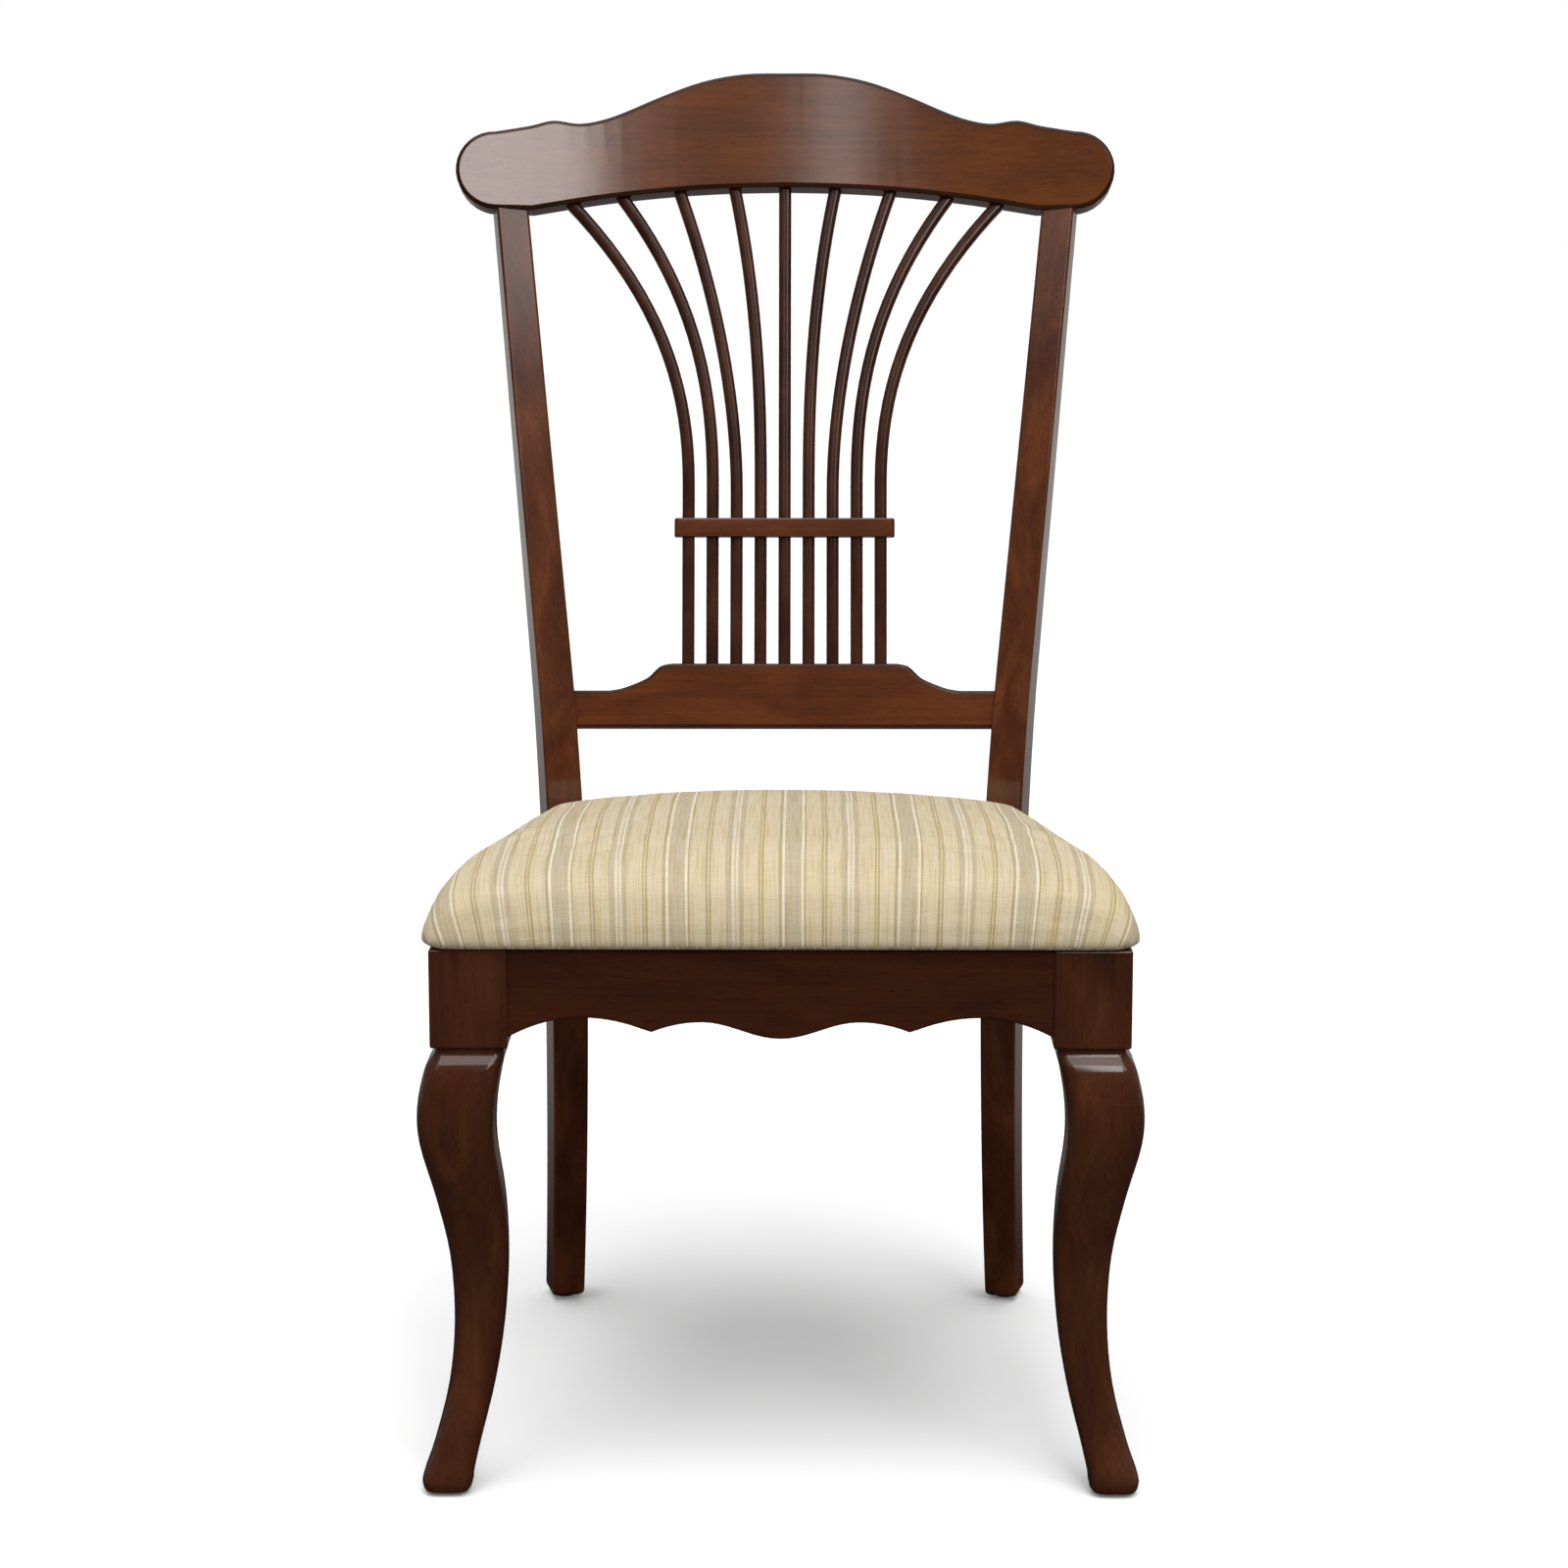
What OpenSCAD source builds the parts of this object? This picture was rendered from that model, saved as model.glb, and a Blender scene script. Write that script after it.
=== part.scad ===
// Dining chair with a sheaf of nine slats tied by a band, cabriole front
// legs and an upholstered seat. Millimetres, +Z up, front of the chair
// towards -Y, origin on the floor under the middle of the chair.

/* [Overall] */
// Height of the seat rails' top above the floor
rail_top_h = 420; // [390:1:450]
// Width across the outer faces of the front leg blocks
front_w = 520; // [480:1:550]
// Distance from the front faces of the leg blocks to the front faces of the rear posts
frame_depth = 411; // [380:1:440]
// Distance between the middles of the rear posts' front faces, below the seat
post_spread = 363; // [340:1:380]

/* [Rear posts] */
// Width of a post through the seat frame
post_w = 31; // [27:0.5:34]
// Depth of a post through the seat frame
post_d = 40; // [36:0.5:46]
// Width of a post under the crest rail
post_top_w = 27.5; // [24:0.5:30]
// Depth of a post under the crest rail
post_top_d = 24; // [22:0.5:27]
// Width of a post at its foot
post_foot_w = 28.5; // [26:0.5:32]
// Depth of a post at its foot
post_foot_d = 36; // [30:0.5:42]
// Turn of a post's front face towards the middle of the chair, in degrees
post_turn = 14; // [6:0.5:18]
// Rounding of a post's long edges
post_edge_r = 2.5; // [1:0.5:5]
// Lean of the back behind the vertical, in degrees
back_rake = 13.5; // [9:0.5:16]
// Height above the seat rails where the back begins to lean
lean_above = 20; // [5:1:40]
// Length over which a post bends into its lean
lean_blend = 80; // [30:1:120]
// Outward lean of a post above the seat, in degrees
post_splay = 5.7; // [3:0.1:7]
// Depth below the seat rails' top where a post begins to spread outward
splay_below = 90; // [60:1:120]
// Length over which a post bends outward
splay_blend = 240; // [120:1:300]
// Distance that a foot sweeps back
foot_sweep = 69; // [40:1:90]
// Depth below the seat rails' top where a foot begins to sweep back
sweep_below = 70; // [60:1:110]
// Distance that a foot spreads outward
foot_spread = 9; // [0:1:16]

/* [Crest rail] */
// Length of the back along its lean, from the bend to the crown
back_length = 604.5; // [560:0.5:640]
// Width of the crest rail
crest_w = 560; // [530:1:600]
// Height of the crest rail from its lowest edge to its crown
crest_h = 121; // [104:0.5:138]
// Height of the crest rail's rounded ends
crest_end_h = 67; // [58:1:78]
// Width of the arch in the crest rail's lower edge
crest_arch_w = 430; // [400:1:450]
// Rise of that arch
crest_arch_h = 22.5; // [12:0.5:28]
// Thickness of the crest rail
crest_t = 30; // [28:0.5:36]
// Radius of the crest rail's hollow front, seen from above
crest_curve_r = 1970; // [1500:10:3000]
// Distance that the crest rail stands in front of the posts
crest_proud = 3; // [1:0.5:5]

/* [Sheaf] */
// Spacing of the slats where they stand upright
slat_pitch = 20.4; // [17:0.1:21]
// Width of a slat
slat_w = 10.5; // [8:0.5:12]
// Depth of a slat from front to back
slat_d = 12; // [10:0.5:14]
// Distance between the outermost slats' middles under the crest rail
sheaf_top_w = 351; // [260:1:380]
// Height along the lean where the slats begin to spread
flare_start = 245; // [225:1:290]
// Length of the slats' ends inside the crest rail and the lower back rail
slat_tenon = 11; // [6:0.5:14]
// Wood left in front of the slats inside the crest rail
slat_cover = 7; // [4:0.5:10]
// Width of the band that ties the sheaf
band_w = 187; // [184:1:210]
// Height of the band
band_h = 16; // [10:0.5:24]
// Height along the lean of the band's lower edge
band_low = 204.5; // [150:0.5:220]
// Distance that the band stands in front of the slats
band_proud = 3.5; // [2:0.5:6]

/* [Lower back rail] */
// Height along the lean of the lower back rail's lower edge
low_rail_low = 42; // [20:1:60]
// Height of the lower back rail at its ends
low_rail_end_h = 31.5; // [28:0.5:42]
// Rise of its middle above its ends
low_rail_rise = 23; // [12:0.5:30]
// Half width of its raised middle
low_rail_flat = 95; // [90:1:98]
// Width of each falling shoulder
low_rail_run = 53; // [30:1:56]
// Thickness of the lower back rail
low_rail_t = 20; // [18:0.5:24]
// Distance that the lower back rail lies behind the posts' front faces
low_rail_back = 6.5; // [5:0.5:10]

/* [Front legs] */
// Side of the square block at the top of a front leg
leg_block = 58; // [52:1:64]
// Height of the block
leg_block_h = 75; // [68:1:90]

/* [Seat rails] */
// Thickness of the seat rails
rail_t = 22; // [18:0.5:26]
// Height of the side and back seat rails
rail_h = 60; // [50:1:66]
// Depth of the scalloped front rail at its middle lobe
apron_h = 68; // [62:1:70]
// Depth of the scallops in the front rail's lower edge
scallop_h = 16; // [8:0.5:20]
// Distance that the front rail lies behind the front faces of the leg blocks
front_rail_back = 3; // [1:0.5:6]
// Distance that the side rails lie inside the outer faces of the leg blocks
side_rail_in = 3; // [1:0.5:6]
// Distance that the back rail lies behind the inner front corners of the posts
back_rail_back = 8; // [4:0.5:12]
// Length of the tenons on the seat rails and the lower back rail
tenon_l = 14; // [8:0.5:16]
// Thickness of the tenons
tenon_t = 8; // [6:0.5:10]
// Shoulder left above and below a tenon
tenon_shoulder = 10; // [6:0.5:12]

/* [Corner blocks] */
// Length of a corner block along the front or back rail
block_l = 50; // [46:1:60]
// Length of a corner block along the side rail
block_side_l = 50; // [46:1:60]
// Height of a corner block
block_h = 25; // [20:1:32]
// Distance that a corner block lies below the seat rails' top
block_drop = 3; // [1:0.5:5]

/* [Seat] */
// Height of the seat's crown above the rails
seat_h = 66; // [56:1:85]
// Distance that the seat hangs over the leg blocks' front faces
seat_front_over = 7; // [3:0.5:12]
// Distance that the seat hangs over the leg blocks' and side rails' outer faces
seat_side_over = 8; // [3:0.5:12]
// Distance that the seat reaches behind the posts' front faces
seat_back_over = 20; // [10:1:26]
// Radius of the seat's front corners, seen from above
seat_corner_r = 24; // [15:1:60]
// Fall of the crown towards the back of the seat
seat_rear_fall = 13; // [0:1:16]
// Radius of the crown's front corners near its top
crown_corner_r = 150; // [60:1:170]
// Radius of the seat's rear corners, in front of the posts
seat_rear_r = 9; // [6:0.5:14]
// Gap between the seat and a post
seat_gap = 2; // [1:0.5:4]
// Thickness of the plywood seat board
board_t = 12; // [9:0.5:15]
// Thickness of the cover fabric with its lining
cover_t = 1.6; // [1:0.1:2.5]
// Width of the cover's hem under the board
hem_w = 30; // [20:1:40]

/* [Fasteners] */
// Diameter of a screw's shank
screw_d = 4.2; // [3.5:0.1:5]
// Diameter of a screw's head
screw_head_d = 8.4; // [7:0.1:9.5]
// Height of a screw's head
screw_head_h = 2.6; // [2:0.1:3.5]
// Length of the screws that hold a corner block to the rails
rail_screw_l = 27; // [24:0.5:29]
// Depth of the seat screws in the board
seat_screw_bite = 8; // [6:0.5:8.5]
// Diameter of the dowels between the posts and the crest rail
dowel_d = 8; // [6:0.5:9]
// Length of those dowels
dowel_l = 40; // [30:1:50]
// Diameter of a glide
glide_d = 16; // [12:0.5:18]
// Thickness of a glide under the foot
glide_h = 3; // [2:0.5:5]
// Diameter of a glide's nail
nail_d = 2.4; // [2:0.1:3]
// Length of a glide's nail in the foot
nail_l = 14; // [10:1:18]

/* [Fits] */
// Glue gap round tenons, slats and dowels in their mortises
glue_gap = 0.2; // [0.1:0.05:0.4]
// Gap between a screw or nail and its hole
screw_play = 0.05; // [0.02:0.01:0.2]
// Gap between soft pieces
soft_gap = 0.3; // [0.2:0.05:0.6]

/* [Hidden] */
slat_count = 9;
paired_pieces = ["rear_post", "front_leg", "side_rail", "corner_block_front", "corner_block_rear",
    "glide_front", "glide_rear"];

left = -1;
right = 1;
both_sides = [left, right];
overrun = 1;
round_fn = 48;
crest_fn = 720;

stain = "#4a2418";
stain_warm = "#5c3018";
stain_dark = "#35190f";
raw_wood = "#b08a5c";
cloth_cream = "#cdbb8b";
cloth_black = "#222222";
foam_yellow = "#e6dc9c";
zinc = "#a9adb0";

// Curves and rings

function lerp(a, b, t) = a + (b - a) * t;

// Row at t along a smooth curve through the rows of a table
function smooth(rows, t) =
    let (
        last = len(rows) - 1,
        i = min(floor(t), last - 1),
        f = t - i,
        p0 = rows[max(i - 1, 0)],
        p1 = rows[i],
        p2 = rows[i + 1],
        p3 = rows[min(i + 2, last)]
    )
    0.5 * (2 * p1 + (p2 - p0) * f + (2 * p0 - 5 * p1 + 4 * p2 - p3) * f * f
        + (3 * p1 - p0 - 3 * p2 + p3) * f * f * f);

function smooth_rows(rows, steps) =
    [for (k = [0 : (len(rows) - 1) * steps]) smooth(rows, k / steps)];

function reversed(points) = [for (i = [len(points) - 1 : -1 : 0]) points[i]];

// Distance gained, for a slope of one, by a run that eases in over a blend
function eased(run, blend) =
    run <= 0 ? 0 : run < blend ? run * run / (2 * blend) : run - blend / 2;

function arc(centre, r, from, to, steps) =
    [for (k = [0 : steps])
        let (a = lerp(from, to, k / steps)) centre + r * [cos(a), sin(a)]];

// Rectangle with rounded corners about the origin, anticlockwise
function round_box(w, d, r, steps) =
    let (x = w / 2 - r, y = d / 2 - r)
    concat(
        arc([x, y], r, 0, 90, steps),
        arc([-x, y], r, 90, 180, steps),
        arc([-x, -y], r, 180, 270, steps),
        arc([x, -y], r, 270, 360, steps));

function centre_of(ring) =
    [for (axis = [0 : 2]) [for (p = ring) p[axis]] * [for (p = ring) 1] / len(ring)];

// Closed solid through a stack of anticlockwise rings, from the lowest to the highest
module rings_solid(rings) {
    n = len(rings[0]);
    m = len(rings);
    low = n * m;
    high = low + 1;
    top = n * (m - 1);
    polyhedron(
        points = concat([for (ring = rings) each ring], [centre_of(rings[0]), centre_of(rings[m - 1])]),
        faces = concat(
            [for (i = [0 : n - 1]) [low, i, (i + 1) % n]],
            [for (j = [0 : m - 2], i = [0 : n - 1])
                let (a = j * n + i, b = j * n + (i + 1) % n)
                each [[a, a + n, b], [b, a + n, b + n]]],
            [for (i = [0 : n - 1]) [high, top + (i + 1) % n, top + i]]));
}

// Pieces are drawn on the chair's right side and mirrored for the left
module on_side(side) {
    if (side == right) {
        children();
    } else {
        mirror([1, 0, 0]) children();
    }
}

// Rear posts

lean_start = rail_top_h + lean_above;
splay_start = rail_top_h - splay_below;
sweep_start = rail_top_h - sweep_below;
bend_h = lean_start + lean_blend / 2;
crest_low = back_length - crest_h;
crest_low_z = bend_h + crest_low * cos(back_rake);
post_end_z = crest_low_z + crest_end_h / 2;
foot_r = post_foot_w / 5;
sweep_power = 1.8;
post_rings = 36;
post_corner_steps = 2;

function drop_share(h, start) = max(0, (start - h) / start);

// Middle of the right post's front face at a height
function post_face(h) = [
    post_spread / 2 + tan(post_splay) * eased(h - splay_start, splay_blend)
        + foot_spread * pow(drop_share(h, splay_start), 2),
    frame_depth + tan(back_rake) * eased(h - lean_start, lean_blend)
        + foot_sweep * pow(drop_share(h, sweep_start), sweep_power)];

// Width and depth of a post at a height
function post_size(h) =
    h < lean_start
        ? lerp([post_foot_w, post_foot_d], [post_w, post_d], min(1, h / sweep_start))
        : lerp([post_w, post_d], [post_top_w, post_top_d], (h - lean_start) / (crest_low_z - lean_start));

// Point across and behind the middle of the right post's front face
function post_point(h, across, behind) =
    let (face = post_face(h))
    [face.x + across * cos(post_turn) + behind * sin(post_turn),
        face.y - across * sin(post_turn) + behind * cos(post_turn), h];

function post_ring(h, inset) =
    let (size = post_size(h), w = size.x - 2 * inset, d = size.y - 2 * inset)
    [for (p = round_box(w, d, post_edge_r, post_corner_steps)) post_point(h, p.x, p.y + size.y / 2)];

// Inner face of the right post beside the seat rails
function post_inner_x(y) =
    let (corner = post_point(rail_top_h, -post_w / 2, 0))
    corner.x + (y - corner.y) * tan(post_turn);

post_top_x = post_point(crest_low_z, 0, post_top_d / 2).x;

// Right post, run on into the crest rail
module post_blank() {
    rings_solid(concat(
        [for (a = [0, 30, 60]) post_ring(glide_h + foot_r * (1 - cos(a)), foot_r * (1 - sin(a)))],
        [for (k = [0 : post_rings]) post_ring(lerp(glide_h + foot_r, post_end_z, k / post_rings), 0)]));
}

// Frame of the leaning back: z runs up the lean and y starts at the posts' front
module in_back() {
    translate([0, frame_depth, bend_h]) rotate([-back_rake, 0, 0]) children();
}

module in_place() {
    translate([0, -middle_y, 0]) children();
}

dowel_spacing = post_top_w * 0.45;

// The two dowels in the joint of the right post and the crest rail, or their holes
module dowel_pair(gap) {
    in_back() translate([post_top_x, post_top_d / 2, crest_low]) rotate([0, post_splay, 0]) {
        for (across = both_sides) translate([across * dowel_spacing / 2, 0, 0]) {
            cylinder(d = dowel_d + 2 * gap, h = dowel_l + 2 * gap, center = true, $fn = round_fn);
        }
    }
}

module rear_post(side) {
    color(stain_warm) in_place() on_side(side) {
        difference() {
            post_blank();
            in_back() crest_cut();
            dowel_pair(glue_gap);
            side_rail_rear_tenon(glue_gap);
            back_rail_tenon(glue_gap);
            in_back() low_rail_tenon(glue_gap);
            glide_nail(rear_glide_at, screw_play);
        }
    }
}

// Crest rail

crest_half_w = crest_w / 2;
crest_end_r = crest_end_h / 2;
crest_end_x = crest_half_w - crest_end_r;
crest_steps = 4;
crest_end_steps = 16;
crest_curve_y = -crest_proud - sqrt(pow(crest_curve_r, 2) - pow(post_top_x, 2));

// Upper edge: share of the half width, share of the rise above the rounded ends
crest_top_shares = [[0, 1], [0.125, 0.986], [0.25, 0.863], [0.375, 0.62], [0.5, 0.33], [0.571, 0.205],
    [0.632, 0.156], [0.707, 0.196], [0.779, 0.1]];
crest_arch_shares = [1, 0.75, 0.5, 0.25, 0];

// Front of the crest rail at a place, behind the posts' front faces
function crest_front(x) = crest_curve_y + sqrt(pow(crest_curve_r, 2) - pow(x, 2));

// Height along the lean of the crest rail's arched lower edge
function crest_under(x) = crest_low + crest_arch_h * (1 - pow(2 * x / crest_arch_w, 2));

// A right-hand half outline with its mirror image
function whole_outline(half) = concat(half, [for (p = reversed(half)) if (p.x > 0) [-p.x, p.y]]);

crest_top = smooth_rows(concat(
    [for (s = crest_top_shares)
        [s.x * crest_half_w, crest_low + crest_end_h + s.y * (crest_h - crest_end_h)]],
    [[crest_end_x, crest_low + crest_end_h]]), crest_steps);
crest_arch = smooth_rows([for (s = crest_arch_shares) let (x = s * crest_arch_w / 2) [x, crest_under(x)]],
    crest_steps);
crest_half = concat(
    crest_top,
    arc([crest_end_x, crest_low + crest_end_r], crest_end_r, 80, -90, crest_end_steps));
crest_arch_half = concat([[crest_arch_w / 2, crest_low - overrun]], crest_arch);

// The crest rail's outline, run through the whole depth of the back
module crest_cut() {
    deep = crest_t + post_d;
    translate([0, deep, 0]) rotate([90, 0, 0]) linear_extrude(2 * deep) {
        difference() {
            polygon(whole_outline(crest_half));
            polygon(whole_outline(crest_arch_half));
        }
    }
}

module crest_blank() {
    intersection() {
        crest_cut();
        translate([0, crest_curve_y, crest_low - overrun]) {
            difference() {
                cylinder(r = crest_curve_r + crest_t, h = crest_h + 2 * overrun, $fn = crest_fn);
                translate([0, 0, -overrun]) {
                    cylinder(r = crest_curve_r, h = crest_h + 4 * overrun, $fn = crest_fn);
                }
            }
        }
    }
}

module crest_rail() {
    color(stain_warm) in_place() {
        difference() {
            in_back() crest_blank();
            in_back() all_slats(glue_gap);
            for (side = both_sides) on_side(side) dowel_pair(glue_gap);
        }
    }
}

module crest_dowels() {
    color(raw_wood) in_place() {
        for (side = both_sides) on_side(side) dowel_pair(0);
    }
}

// Sheaf

// Each slat's spread as a share of the outermost one's, from the middle slat
// outward, and the powers of the height that they follow
flare_shares = [0, 0.195, 0.455, 0.727, 1];
flare_powers = [1, 2.4, 1.85, 2.4, 2.3];
middle_slat = (slat_count - 1) / 2;
slat_rings = 20;
slat_edge_r = slat_w / 4;
slat_low = low_rail_low + low_rail_end_h + low_rail_rise;
slat_foot_y = low_rail_back + low_rail_t / 2;
flare_w = sheaf_top_w / 2 - middle_slat * slat_pitch;

// Place across the chair of a slat's middle line; slats count from the middle one
function slat_x(i, h) =
    let (climb_share = max(0, (h - flare_start) / (crest_low - flare_start)))
    i * slat_pitch + sign(i) * flare_shares[abs(i)] * flare_w * pow(climb_share, flare_powers[abs(i)]);

function slat_y(i, h) =
    let (head_y = crest_front(slat_x(i, crest_low)) + slat_cover + slat_d / 2)
    lerp(slat_foot_y, head_y, (h - slat_low) / (crest_low - slat_low));

function slat_ring(i, h, grow) =
    let (
        step = (crest_low - slat_low) / slat_rings,
        a = atan2(slat_x(i, h + step / 2) - slat_x(i, h - step / 2), step),
        x = slat_x(i, h),
        y = slat_y(i, h)
    )
    [for (p = round_box(slat_w + 2 * grow, slat_d + 2 * grow, slat_edge_r, 1))
        [x + p.x * cos(a), y + p.y, h - p.x * sin(a)]];

module slat_solid(i, grow) {
    low = slat_low - slat_tenon - grow;
    high = crest_under(slat_x(i, crest_low)) + slat_tenon + grow;
    rings_solid([for (k = [0 : slat_rings]) slat_ring(i, lerp(low, high, k / slat_rings), grow)]);
}

module all_slats(grow) {
    for (i = [-middle_slat : middle_slat]) slat_solid(i, grow);
}

module slat(number) {
    color(stain_dark) in_place() in_back() slat_solid(number - 1 - middle_slat, 0);
}

band_front = slat_y(middle_slat, band_low + band_h / 2) - slat_d / 2 - band_proud;
band_d = band_proud + slat_d / 2;
band_end_r = band_d / 2.5;
band_end_steps = 4;

module sheaf_band() {
    end_x = band_w / 2 - band_end_r;
    color(stain) in_place() in_back() {
        difference() {
            translate([0, band_front, band_low]) linear_extrude(band_h) {
                polygon(concat(
                    arc([end_x, band_end_r], band_end_r, 270, 360, band_end_steps),
                    [[band_w / 2, band_d], [-band_w / 2, band_d]],
                    arc([-end_x, band_end_r], band_end_r, 180, 270, band_end_steps)));
            }
            all_slats(glue_gap);
        }
    }
}

// Lower back rail

// Falling shoulder: share of its run, share of the rise
shoulder_shares = [[0, 1], [0.158, 0.926], [0.25, 0.778], [0.345, 0.556], [0.44, 0.407],
    [0.626, 0.222], [0.81, 0.074], [1, 0]];
shoulder_steps = 3;
low_rail_z = bend_h + (low_rail_low + low_rail_end_h / 2) * cos(back_rake);
low_rail_shoulder = smooth_rows(
    [for (s = shoulder_shares)
        [low_rail_flat + s.x * low_rail_run, low_rail_end_h + s.y * low_rail_rise]], shoulder_steps);

module low_rail_tenon(grow) {
    inner_x = post_point(low_rail_z, -post_w / 2, slat_foot_y).x;
    translate([inner_x - tenon_l, slat_foot_y - tenon_t / 2 - grow, low_rail_low + tenon_shoulder - grow]) {
        cube([2 * tenon_l + grow, tenon_t + 2 * grow, low_rail_end_h - 2 * tenon_shoulder + 2 * grow]);
    }
}

module lower_back_rail() {
    half_l = post_face(low_rail_z).x;
    color(stain) in_place() {
        difference() {
            union() {
                difference() {
                    in_back() translate([0, low_rail_back + low_rail_t, low_rail_low]) {
                        rotate([90, 0, 0]) linear_extrude(low_rail_t) {
                            polygon(concat(
                                [[-half_l, 0], [half_l, 0], [half_l, low_rail_end_h]],
                                reversed(low_rail_shoulder),
                                [for (p = low_rail_shoulder) [-p.x, p.y]],
                                [[-half_l, low_rail_end_h]]));
                        }
                    }
                    for (side = both_sides) on_side(side) post_blank();
                }
                in_back() for (side = both_sides) on_side(side) low_rail_tenon(0);
            }
            in_back() all_slats(glue_gap);
        }
    }
}

// Front legs

knee_h = rail_top_h - leg_block_h;
leg_mid = leg_block / 2;
leg_x = front_w / 2 - leg_mid;
leg_steps = 3;
leg_corner_steps = 3;

// Cabriole from the foot up: share of its height, shares of the block's side for
// the step outward and the width, and the corner rounding's share of the width
cabriole_shares = [[0, 0.362, 0.56, 0.3], [0.013, 0.356, 0.64, 0.3], [0.035, 0.345, 0.65, 0.33],
    [0.1, 0.235, 0.605, 0.38], [0.226, 0.05, 0.6, 0.42], [0.362, -0.05, 0.655, 0.42],
    [0.513, -0.059, 0.752, 0.36], [0.652, 0.033, 0.88, 0.3], [0.783, 0.172, 0.972, 0.27],
    [0.87, 0.178, 1, 0.25], [0.95, 0.092, 0.98, 0.2], [0.975, 0.03, 0.945, 0.17],
    [0.99, 0, 0.895, 0.13], [1.02, 0, 0.88, 0.12]];

function leg_ring(row) =
    let (out = row[1] * leg_block, w = row[2] * leg_block)
    [for (p = round_box(w, w, row[3] * w, leg_corner_steps))
        [leg_x + out + p.x, leg_mid - out + p.y, lerp(glide_h, knee_h, row[0])]];

module front_leg(side) {
    color(stain) in_place() on_side(side) {
        difference() {
            union() {
                rings_solid([for (row = smooth_rows(cabriole_shares, leg_steps)) leg_ring(row)]);
                translate([leg_x - leg_mid, 0, knee_h]) cube([leg_block, leg_block, leg_block_h]);
            }
            front_rail_tenon(glue_gap);
            side_rail_front_tenon(glue_gap);
            glide_nail(front_glide_at, screw_play);
        }
    }
}

// Front rail

front_half_l = front_w / 2 - leg_block;
front_rail_in_y = front_rail_back + rail_t;
apron_low = rail_top_h - apron_h;
apron_steps = 32;

// Lobes of the front rail's lower edge, outward from the middle. Each row has the
// places of its crest and its end as shares of the half length, and the heights of
// its crest and its end as shares of the scallops' depth.
lobe_shares = [[0.287, 0, 0.785, 0], [0.287, 0.472, 0.785, 0.3], [0.725, 0.472, 1, 0.3],
    [0.725, 1, 1, 0]];

// Height of the lower edge above its lowest points, at a share of the half length
function scallop(place_share) =
    let (
        row = [for (lobe = lobe_shares)
            if (place_share >= min(lobe[0], lobe[1]) && place_share <= max(lobe[0], lobe[1])) lobe][0],
        fall_share = abs((place_share - row[0]) / (row[1] - row[0])),
        eased_share = row == lobe_shares[0] ? (1 - cos(180 * fall_share)) / 2 : pow(fall_share, 2)
    )
    scallop_h * lerp(row[2], row[3], eased_share);

apron_edge = [for (k = [0 : apron_steps])
    [k / apron_steps * front_half_l, apron_low + scallop(k / apron_steps)]];

module front_rail_tenon(grow) {
    low = apron_low + scallop_h + tenon_shoulder;
    translate([front_half_l - tenon_l, front_rail_back + (rail_t - tenon_t) / 2 - grow, low - grow]) {
        cube([2 * tenon_l + grow, tenon_t + 2 * grow, rail_top_h - tenon_shoulder - low + 2 * grow]);
    }
}

module front_rail() {
    color(stain) in_place() {
        difference() {
            union() {
                translate([0, front_rail_in_y, 0]) rotate([90, 0, 0]) linear_extrude(rail_t) {
                    polygon(concat(
                        [[front_half_l, rail_top_h], [-front_half_l, rail_top_h]],
                        [for (p = reversed(apron_edge)) [-p.x, p.y]],
                        [for (p = apron_edge) if (p.x > 0) p]));
                }
                for (side = both_sides) on_side(side) front_rail_tenon(0);
            }
            for (side = both_sides) on_side(side) front_block_screws(screw_play);
        }
    }
}

// Side rails

rail_low = rail_top_h - rail_h;
side_front = [front_w / 2 - side_rail_in, leg_block];
side_rear = post_point(rail_top_h, (post_w - post_edge_r) / 2, 0);
side_angle = atan2(side_front.x - side_rear.x, side_rear.y - side_front.y);
side_run = (side_rear.y - side_front.y) / cos(side_angle);

function side_out_x(y) = side_front.x - (y - side_front.y) * tan(side_angle);
function side_in_x(y) = side_out_x(y) - rail_t / cos(side_angle);

// Tenon along the side rail's middle line, measured from the leg block
module side_rail_tenon(from, to, grow) {
    translate([side_front.x - rail_t / 2 / cos(side_angle), side_front.y, 0]) {
        rotate([0, 0, side_angle]) {
            translate([-tenon_t / 2 - grow, from - grow, rail_low + tenon_shoulder - grow]) {
                cube([tenon_t + 2 * grow, to - from + 2 * grow, rail_h - 2 * tenon_shoulder + 2 * grow]);
            }
        }
    }
}

module side_rail_front_tenon(grow) {
    side_rail_tenon(-tenon_l, tenon_l, grow);
}

module side_rail_rear_tenon(grow) {
    side_rail_tenon(side_run - tenon_l, side_run + tenon_l, grow);
}

module side_rail(side) {
    far = frame_depth + post_w / 4;
    color(stain) in_place() on_side(side) {
        difference() {
            union() {
                difference() {
                    translate([0, 0, rail_low]) linear_extrude(rail_h) {
                        polygon([[side_in_x(leg_block), leg_block], side_front,
                            [side_out_x(far), far], [side_in_x(far), far]]);
                    }
                    post_blank();
                }
                side_rail_front_tenon(0);
                side_rail_rear_tenon(0);
            }
            front_block_screws(screw_play);
            rear_block_screws(screw_play);
        }
    }
}

// Back rail

back_rail_y = post_point(rail_top_h, -post_w / 2, 0).y + back_rail_back;

module back_rail_tenon(grow) {
    mid_y = back_rail_y + rail_t / 2;
    translate([post_inner_x(mid_y) - tenon_l, mid_y - tenon_t / 2 - grow, rail_low + tenon_shoulder - grow]) {
        cube([2 * tenon_l + grow, tenon_t + 2 * grow, rail_h - 2 * tenon_shoulder + 2 * grow]);
    }
}

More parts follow.
